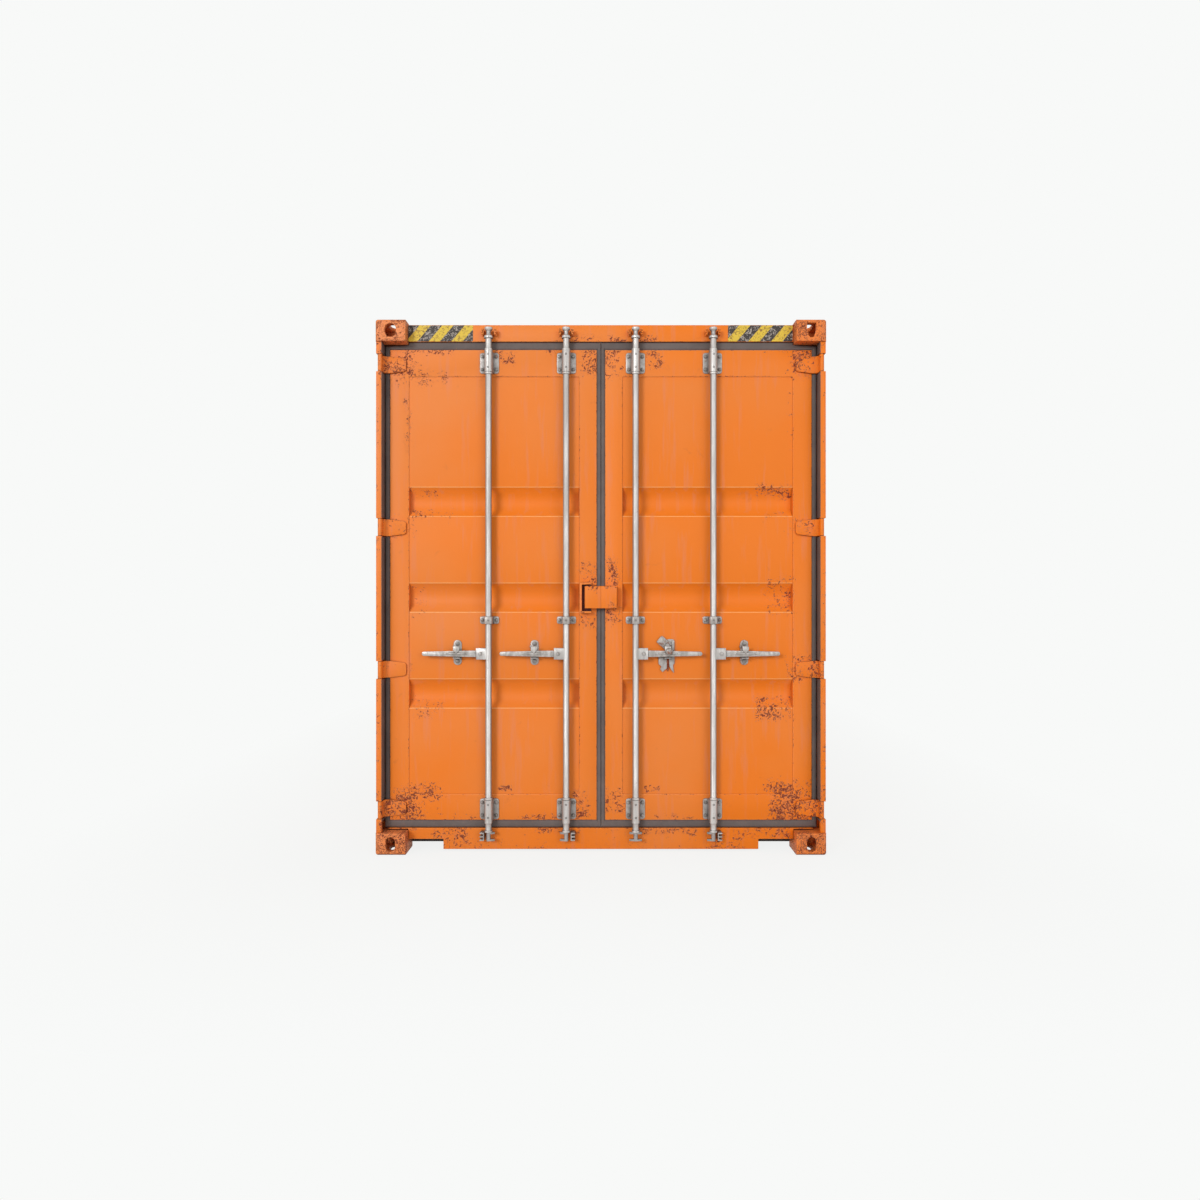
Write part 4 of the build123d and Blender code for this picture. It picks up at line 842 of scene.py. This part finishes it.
# The third retainer's plates and its rust streak, from its rod across and the handle up
UPRIGHT = [(0.160, -0.055), (0.212, -0.055), (0.212, 0.074), (0.196, 0.078), (0.176, 0.076),
           (0.163, 0.068)]
TORN_LEFT = [(0.127, -0.016), (0.171, -0.016), (0.172, -0.084), (0.160, -0.091), (0.149, -0.104),
             (0.136, -0.087), (0.143, -0.073), (0.127, -0.058)]
TORN_RIGHT = [(0.184, -0.018), (0.213, -0.018), (0.214, -0.055), (0.206, -0.064), (0.211, -0.108),
              (0.199, -0.094), (0.187, -0.072)]
RUST_STREAK = [(0.170, -0.030), (0.186, -0.030), (0.184, -0.086), (0.178, -0.101), (0.171, -0.084)]


def handle_details(number):
    """The pressed rib along a handle, and the pin's head on its fork."""
    x, side = RODS[number - 1], HANDLE_SIDES[number - 1]
    front = ROD_Y - HANDLE_DEPTH / 2
    middle = x + side * RETAINER_OFFSET
    rib = ball((middle, front + 0.0005, HANDLE_MIDDLE), RIB_RADII, 32, 16)
    select_faces(rib, lambda centre, normal: centre.y < front - 0.0025)
    bpy.ops.mesh.inset(thickness=0.0015)
    bpy.ops.transform.translate(value=(0, 0.0022, 0))
    bpy.ops.object.mode_set(mode="OBJECT")
    dressed(rib, ZINC)
    placed(rib, f"handle_rib_{number}", f"rod_{number}_handle", "galvanised_steel")
    pin = bolt_head(x + side * PIN_OFFSET, ROD_Y - FORK_DEPTH / 2, HANDLE_MIDDLE, PIN_RADIUS,
                    PIN_HEIGHT)
    placed(dressed(pin, PLATE_ZINC), f"fork_pin_{number}", f"rod_{number}", "galvanised_steel")


def handle_nut():
    """The large round nut on the third handle, in front of its retainer."""
    front = ROD_Y - HANDLE_DEPTH / 2
    nut = bolt_head(RODS[2] + NUT_ACROSS, front, HANDLE_MIDDLE + NUT_UP, NUT_RADIUS, NUT_HEIGHT)
    placed(dressed(nut, STAINED_ZINC), "handle_nut_3", "rod_3_handle", "galvanised_steel")


def retainer(number):
    """The plate behind a handle, rounded at both ends, its bolts, ledge and side tab."""
    x = RODS[number - 1] + HANDLE_SIDES[number - 1] * RETAINER_OFFSET
    side = door_of(x)
    node = f"{side}_handle_retainers"
    front = PANEL_FACE - RETAINER_PLATE
    half = RETAINER_HALF_WIDTH
    low, high = HANDLE_MIDDLE - RETAINER_BELOW, HANDLE_MIDDLE + RETAINER_ABOVE
    finish = STAINED_ZINC if number == 4 else PLATE_ZINC
    plate = round_plate((x - half, front, low), (x + half, PANEL_FACE, high), half - 0.001, 0.0012)
    ledge_top = HANDLE_MIDDLE - LEDGE_DROP
    ledge = round_plate((x - half + 0.002, PANEL_FACE - LEDGE_REACH, ledge_top - LEDGE_SHEET),
                        (x + half - 0.002, front, ledge_top), 0.002, 0.001)
    tab = round_plate((x - half - 0.003, front - 0.004, high - 0.042),
                      (x - half + 0.006, front + 0.001, high - 0.030), 0.002, 0.0008)
    parts = [dressed(part, finish) for part in (plate, ledge, tab)]
    for z in (low + 0.0205, high - 0.0205):
        parts.append(dressed(bolt_head(x, front, z, 0.0115, 0.006), BOLT_STEEL))
    placed(joined(parts), f"handle_retainer_{number}", f"{side}_door", "galvanised_steel", node)


def bent_retainer():
    """The third handle's larger retainer: upright plate, torn lower plates, ledge and rivet."""
    x = RODS[2]
    front = PANEL_FACE - RETAINER_PLATE
    middle = HANDLE_MIDDLE

    def torn(outline, back, face, rim=0.001):
        """A plate with a torn outline, at its place by the third rod."""
        return cut_plate([(x + across, middle + up) for across, up in outline], back, face, rim)

    upright = torn(UPRIGHT, PANEL_FACE, front, 0.0012)
    fold = round_plate((x + 0.199, front - 0.005, middle - 0.050),
                       (x + 0.214, front + 0.001, middle + 0.070), 0.004, 0.0012)
    left_plate = torn(TORN_LEFT, front + 0.0005, front - 0.004)
    right_plate = torn(TORN_RIGHT, front + 0.0005, front - 0.004)
    ledge_top = middle - LEDGE_DROP
    ledge = round_plate((x + 0.155, PANEL_FACE - LEDGE_REACH, ledge_top - LEDGE_SHEET),
                        (x + 0.195, front, ledge_top), 0.002, 0.001)
    parts = [dressed(part, PLATE_ZINC) for part in (upright, fold, left_plate, right_plate, ledge)]
    parts.append(dressed(torn(RUST_STREAK, PANEL_FACE, front - 0.001), HEAVY_RUST))
    catch_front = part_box("handle_catch")[0][1]
    rivet_x = x + RETAINER_OFFSET
    parts.append(dressed(bolt_head(rivet_x, catch_front, CATCH_PIVOT_Z, 0.0135, 0.006), PLATE_ZINC))
    stem = round_plate((rivet_x - 0.0055, catch_front - 0.001, CATCH_PIVOT_Z - 0.0055),
                       (rivet_x + 0.0055, front, CATCH_PIVOT_Z + 0.0055), 0.005, 0.0004)
    parts.append(dressed(stem, PLATE_ZINC))
    placed(joined(parts), "handle_retainer_3", "right_door", "galvanised_steel",
           "right_handle_retainers")


for number in (1, 2, 4):
    retainer(number)
bent_retainer()
for number in range(1, 5):
    handle_details(number)
handle_nut()


# Keepers that hold the cams at the header

KEEPER_INNER, KEEPER_OUTER = 0.0275, 0.041
KEEPER_REACH = 0.040
KEEPER_LOW, KEEPER_HIGH = 2.822, 2.858
LOBES = ((0.006, 0.0345), (0.018, 0.0375), (0.030, 0.0345))
LOBE_RADII = (0.0065, 0.0091, 0.006175)


def top_keeper(number):
    """A cast keeper on the header: a painted plate with a three-lobed prong on either side."""
    x = RODS[number - 1]
    front = LEAF_FACE - KEEPER_REACH
    parts = [round_plate((x - KEEPER_OUTER, LEAF_FACE - 0.008, KEEPER_LOW),
                         (x + KEEPER_OUTER, LEAF_FACE, KEEPER_LOW + 0.016), 0.004)]
    for side in (-1, 1):
        near, far = sorted((x + side * KEEPER_INNER, x + side * (KEEPER_OUTER - 0.003)))
        parts.append(round_plate((near, front + 0.006, KEEPER_LOW + 0.002),
                                 (far, LEAF_FACE, KEEPER_HIGH - 0.002), 0.003, 0.0015))
        for rise, out in LOBES:
            lobe = ball((x + side * out, front + 0.008, KEEPER_LOW + rise), LOBE_RADII, 20, 12)
            select_faces(lobe, lambda centre, normal: normal.y > 0.95)
            extrude((0, 0.006, 0))
            bpy.ops.object.mode_set(mode="OBJECT")
            parts.append(lobe)
    keeper = joined([dressed(part, WORN_PAINT) for part in parts])
    placed(keeper, f"top_keeper_{number}", "container_box", "container_paint", "cam_keepers")


for number in range(1, 5):
    top_keeper(number)


# Rubber seals of the leaves: strips with round shoulders, mitred at the corners

SEAL_FRONT = LEAF_FACE + 0.003
SEAL_SEAM = 0.0016
SEAL_OUTER = 1.1865
SEAL_LOW, SEAL_HIGH = 0.1295, 2.7955
CASTING_BOTTOM, CASTING_INNER = 2.7775, 1.052
SEAL_BODY = 0.012
# The seals' backs stand this far in from their edges, and end there beside the posts
SEAL_INSET = 0.006
SEAL_BACK_OUTER = 1.182
SEAM_SHOULDER, OUTER_SHOULDER, FOOT_SHOULDER, TOP_SHOULDER = 0.012, 0.011, 0.015, 0.013


def seal_strip(outline, along, shoulder, wanted=lambda middle: True):
    """One strip of a seal, its front edges along one axis rounded to broad shoulders."""
    strip = cut_plate(outline, SEAL_FRONT + SEAL_BODY, SEAL_FRONT, 0)
    bevel_edges(strip, lambda middle, run: abs(middle.y - SEAL_FRONT) < NEAR
                and abs(run[along]) > 0.99 and wanted(middle), shoulder, 6)
    return strip


def leaf_seal(side):
    """The seal round a leaf's edge."""
    s = -1 if side == "left" else 1
    near, far = s * LEAF_LOW[0], s * LEAF_HIGH[0]
    foot, top = LEAF_LOW[2], LEAF_HIGH[2]
    seam, outer = s * SEAL_SEAM, s * SEAL_OUTER
    inner = s * CASTING_INNER
    strips = [
        seal_strip([(seam, SEAL_LOW), (near, foot), (near, top), (seam, SEAL_HIGH)], 2,
                   SEAM_SHOULDER, lambda middle: abs(middle.x) > 0.010),
        seal_strip([(outer, SEAL_LOW), (far, foot), (far, top), (outer, CASTING_BOTTOM)], 2,
                   OUTER_SHOULDER),
        seal_strip([(seam, SEAL_LOW), (outer, SEAL_LOW), (far, foot), (near, foot)], 0,
                   FOOT_SHOULDER),
        seal_strip([(seam, SEAL_HIGH), (inner, SEAL_HIGH), (inner, CASTING_BOTTOM),
                    (outer, CASTING_BOTTOM), (far, top), (near, top)], 0, TOP_SHOULDER),
    ]
    back_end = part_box(f"{side}_door_gasket")[1][1]
    seam_back = s * SEAL_INSET
    low, high = SEAL_LOW + SEAL_INSET, SEAL_HIGH - SEAL_INSET
    spans = [(seam_back, near, low, high),
             (far, s * SEAL_BACK_OUTER, low, CASTING_BOTTOM - SEAL_INSET),
             (seam_back, far, low, foot), (seam_back, inner, top, high)]
    back = [block((min(a, b), SEAL_FRONT + 0.004, z0), (max(a, b), back_end, z1))
            for a, b, z0, z1 in spans]
    seal = joined([dressed(part, RUBBER) for part in strips + back])
    placed(seal, f"{side}_seal", f"{side}_door", "gasket_rubber", f"{side}_door_gasket")


leaf_seal("left")
leaf_seal("right")


# Rubber linings of the door posts

POST_INNER = 1.187
LINING = 0.0025
LINING_FOOT = 0.180
HINGE_HEIGHTS = (0.241, 1.000, 1.774, 2.665)
HINGE_HALF = 0.052


def post_lining(side):
    """Rubber strips glued to the inside of a door post, between its hinges."""
    s = -1 if side == "left" else 1
    near, far = sorted((s * (POST_INNER - LINING), s * POST_INNER))
    ends = [LINING_FOOT]
    for height in HINGE_HEIGHTS:
        ends += [height - HINGE_HALF, height + HINGE_HALF]
    ends.append(CASTING_BOTTOM - 0.002)
    strips = []
    for low, high in zip(ends[::2], ends[1::2]):
        strip = block((near, DOOR_END + 0.006, low), (far, LEAF_FACE - 0.003, high))
        strips.append(soften(dressed(strip, RUBBER), 0.001))
    placed(joined(strips), f"{side}_post_lining", "container_box", "gasket_rubber")


post_lining("left")
post_lining("right")


# The lock box over the seam, half on each leaf, and the clamp beside it

BOX_LOW, BOX_HIGH = 1.334, 1.455
BOX_SIDE = 0.088
BOX_FRONT = LEAF_FACE - 0.052
BOX_SHEET = 0.004
BOX_CORNER = 0.006
BOX_SEAM = 0.0002
BOX_SEAM_BACK = 0.0025
CLAMP_FRONT = LEAF_FACE - 0.036


def lock_box_half(side):
    """Half of the lock box: a folded cover with round edges, open below and at the seam."""
    s = -1 if side == "left" else 1
    near, far = sorted((s * BOX_SEAM, s * BOX_SIDE))
    shell = block((near, BOX_FRONT, BOX_LOW), (far, LEAF_FACE, BOX_HIGH))
    delete_faces(shell, lambda middle, normal: normal.z < -0.9 or normal.y > 0.9
                 or normal.x * s < -0.9)
    corner = Vector((s * BOX_SIDE, BOX_FRONT, BOX_HIGH))
    bevel_edges(shell, lambda middle, run: sum(abs(middle[i] - corner[i]) < NEAR
                                               for i in range(3)) > 1, BOX_CORNER, 4)
    apply_modifier(shell, "SOLIDIFY", thickness=BOX_SHEET, offset=-1.0)
    soften(shell, 0.0012)
    clear_selection(shell, "VERT")
    for vertex in shell.data.vertices:
        place = vertex.co
        vertex.select = abs(place.x) < 0.002 and place.y > BOX_FRONT + BOX_SHEET + 0.001
    bpy.ops.object.mode_set(mode="EDIT")
    bpy.ops.transform.translate(value=(s * (BOX_SEAM_BACK - BOX_SEAM), 0, 0))
    bpy.ops.object.mode_set(mode="OBJECT")
    dressed(shell, PAINT)
    placed(shell, f"{side}_lock_cover", f"{side}_door", "container_paint", f"{side}_lock_box")


def lock_clamp():
    """The C-shaped clamp at the left of the lock box, a dark maroon plate in its hollow as painted
    shade.
    """
    outline = [(-0.052, 1.474), (-0.109, 1.474), (-0.115, 1.468), (-0.115, 1.313), (-0.109, 1.307),
               (-0.052, 1.307), (-0.052, 1.318), (-0.104, 1.318), (-0.104, 1.463), (-0.052, 1.463)]
    clamp = dressed(cut_plate(outline, LEAF_FACE, CLAMP_FRONT, 0.0025), WORN_PAINT)
    # Painted shade: a dark plate at the back of the 36 mm deep hollow
    darkening = round_plate((-0.105, LEAF_FACE - 0.004, 1.317), (-0.053, LEAF_FACE, 1.464), 0.002)
    placed(joined([clamp, dressed(darkening, CLAMP_HOLLOW_SHADE)]), "lock_clamp", "left_door", "container_paint",
           "left_lock_box")


lock_box_half("left")
lock_box_half("right")
lock_clamp()


def hazard_decal(left):
    """A film of stripes on the header's face, 0.4 mm proud of it, its corners rubbed away."""
    x0 = DECAL_LEFT if left else DECAL_RIGHT
    x1 = x0 + DECAL_LENGTH
    z0, z1 = DECAL_LOW, DECAL_HIGH
    outline = [(x0, z0 + 0.004), (x0 + 0.003, z0), (x0 + 0.120, z0), (x0 + 0.131, z0 + 0.002),
               (x0 + 0.142, z0), (x1 - 0.006, z0), (x1 - 0.001, z0 + 0.005), (x1, z1 - 0.030),
               (x1 - 0.002, z1 - 0.022), (x1, z1 - 0.014), (x1, z1 - 0.003), (x1 - 0.003, z1),
               (x0 + 0.250, z1), (x0 + 0.238, z1 - 0.0015), (x0 + 0.226, z1), (x0 + 0.002, z1),
               (x0, z1 - 0.003)]
    film = dressed(cut_plate(outline, LEAF_FACE, LEAF_FACE - FILM, 0), hazard_film(x0))
    name = "hazard_decal_left" if left else "hazard_decal_right"
    placed(film, name, "container_box", "container_paint")


hazard_decal(True)
hazard_decal(False)

# Camera, lights and floor

camera_data = bpy.data.cameras.new("camera")
camera_data.lens = CAMERA_LENS
camera_data.sensor_width = SENSOR_WIDTH
camera_data.clip_end = 200
camera = bpy.data.objects.new("camera", camera_data)
camera.location = CAMERA_PLACE
camera.rotation_euler = (math.radians(90), 0, 0)
bpy.context.scene.collection.objects.link(camera)
bpy.context.scene.camera = camera


def studio_light(name, place, aim, size, power):
    """A large soft lamp that points at a place on the container."""
    data = bpy.data.lights.new(name, "AREA")
    data.size = size
    data.energy = power
    lamp = bpy.data.objects.new(name, data)
    lamp.location = place
    lamp.rotation_euler = (Vector(aim) - Vector(place)).to_track_quat("-Z", "Y").to_euler()
    bpy.context.scene.collection.objects.link(lamp)


studio_light("key", (-8.5, DOOR_END - 15.0, 6.0), (0, DOOR_END, 1.4), 5.0, 1370)
studio_light("fill", (7.0, DOOR_END - 12.0, 4.0), (0, DOOR_END, 1.2), 8.0, 420)


BACKGROUND = "#F8F9F8"
SHADOW_FADE = 2.0


def seen_directly(tree):
    """1 for what the camera sees, directly, in gloss or through glass, and 0 for other light."""
    path = add(tree, "LightPath").node.outputs
    seen = add(tree, "Math", {0: path["Is Camera Ray"], 1: path["Is Glossy Ray"]},
               operation="MAXIMUM")
    return add(tree, "Math", {0: seen, 1: path["Is Transmission Ray"]}, operation="MAXIMUM")


def pale_world():
    """Even pale light, and a near-white background for the camera and for gloss."""
    world = bpy.data.worlds.new("studio")
    bpy.context.scene.world = world
    world.use_nodes = True
    tree = world.node_tree
    strength = add(tree, "MapRange", {"Value": seen_directly(tree), "To Min": 0.55, "To Max": 1.0})
    fill(tree, tree.nodes["Background"].inputs, {"Strength": strength, "Color": BACKGROUND})


def pale_floor():
    """A plain floor, as pale as the background where it is seen, that keeps a faint shadow."""
    bpy.ops.object.select_all(action="DESELECT")
    bpy.ops.mesh.primitive_plane_add(size=160, location=(0, 0, -0.0005))
    floor = bpy.context.object
    floor.name = "studio_floor"
    material, tree, shader, place = new_material("studio_floor")
    fill(tree, shader, {"Base Color": "#C4C4C2", "Roughness": 0.9, "Specular IOR Level": 0.0})
    shade = add(tree, "BsdfDiffuse", {"Color": "#565656"})
    glow = add(tree, "Emission", {"Color": BACKGROUND, "Strength": 0.895})
    pale = add(tree, "AddShader", {0: shade, 1: glow})
    # The shadow fades out over 2 m from the container, into the even background
    size = add(tree, "VectorMath", {0: place}, operation="ABSOLUTE")
    beside = add(tree, "VectorMath", {0: size, 1: (SIDE, FRONT_END, 0)}, operation="SUBTRACT")
    beside = add(tree, "VectorMath", {0: beside, 1: (0, 0, 0)}, operation="MAXIMUM")
    gap = add(tree, "VectorMath", {0: beside}, operation="LENGTH").node
    fade = add(tree, "MapRange", {"Value": gap.outputs["Value"], "From Max": SHADOW_FADE})
    even = add(tree, "Emission", {"Color": BACKGROUND, "Strength": 1.0})
    pale = add(tree, "MixShader", {0: fade, 1: pale, 2: even})
    plain = tree.nodes["Principled BSDF"].outputs[0]
    result = add(tree, "MixShader", {0: seen_directly(tree), 1: plain, 2: pale})
    tree.links.new(result, tree.nodes["Material Output"].inputs["Surface"])
    floor.data.materials.append(material)


pale_world()
pale_floor()
bpy.context.scene.view_settings.view_transform = "Standard"
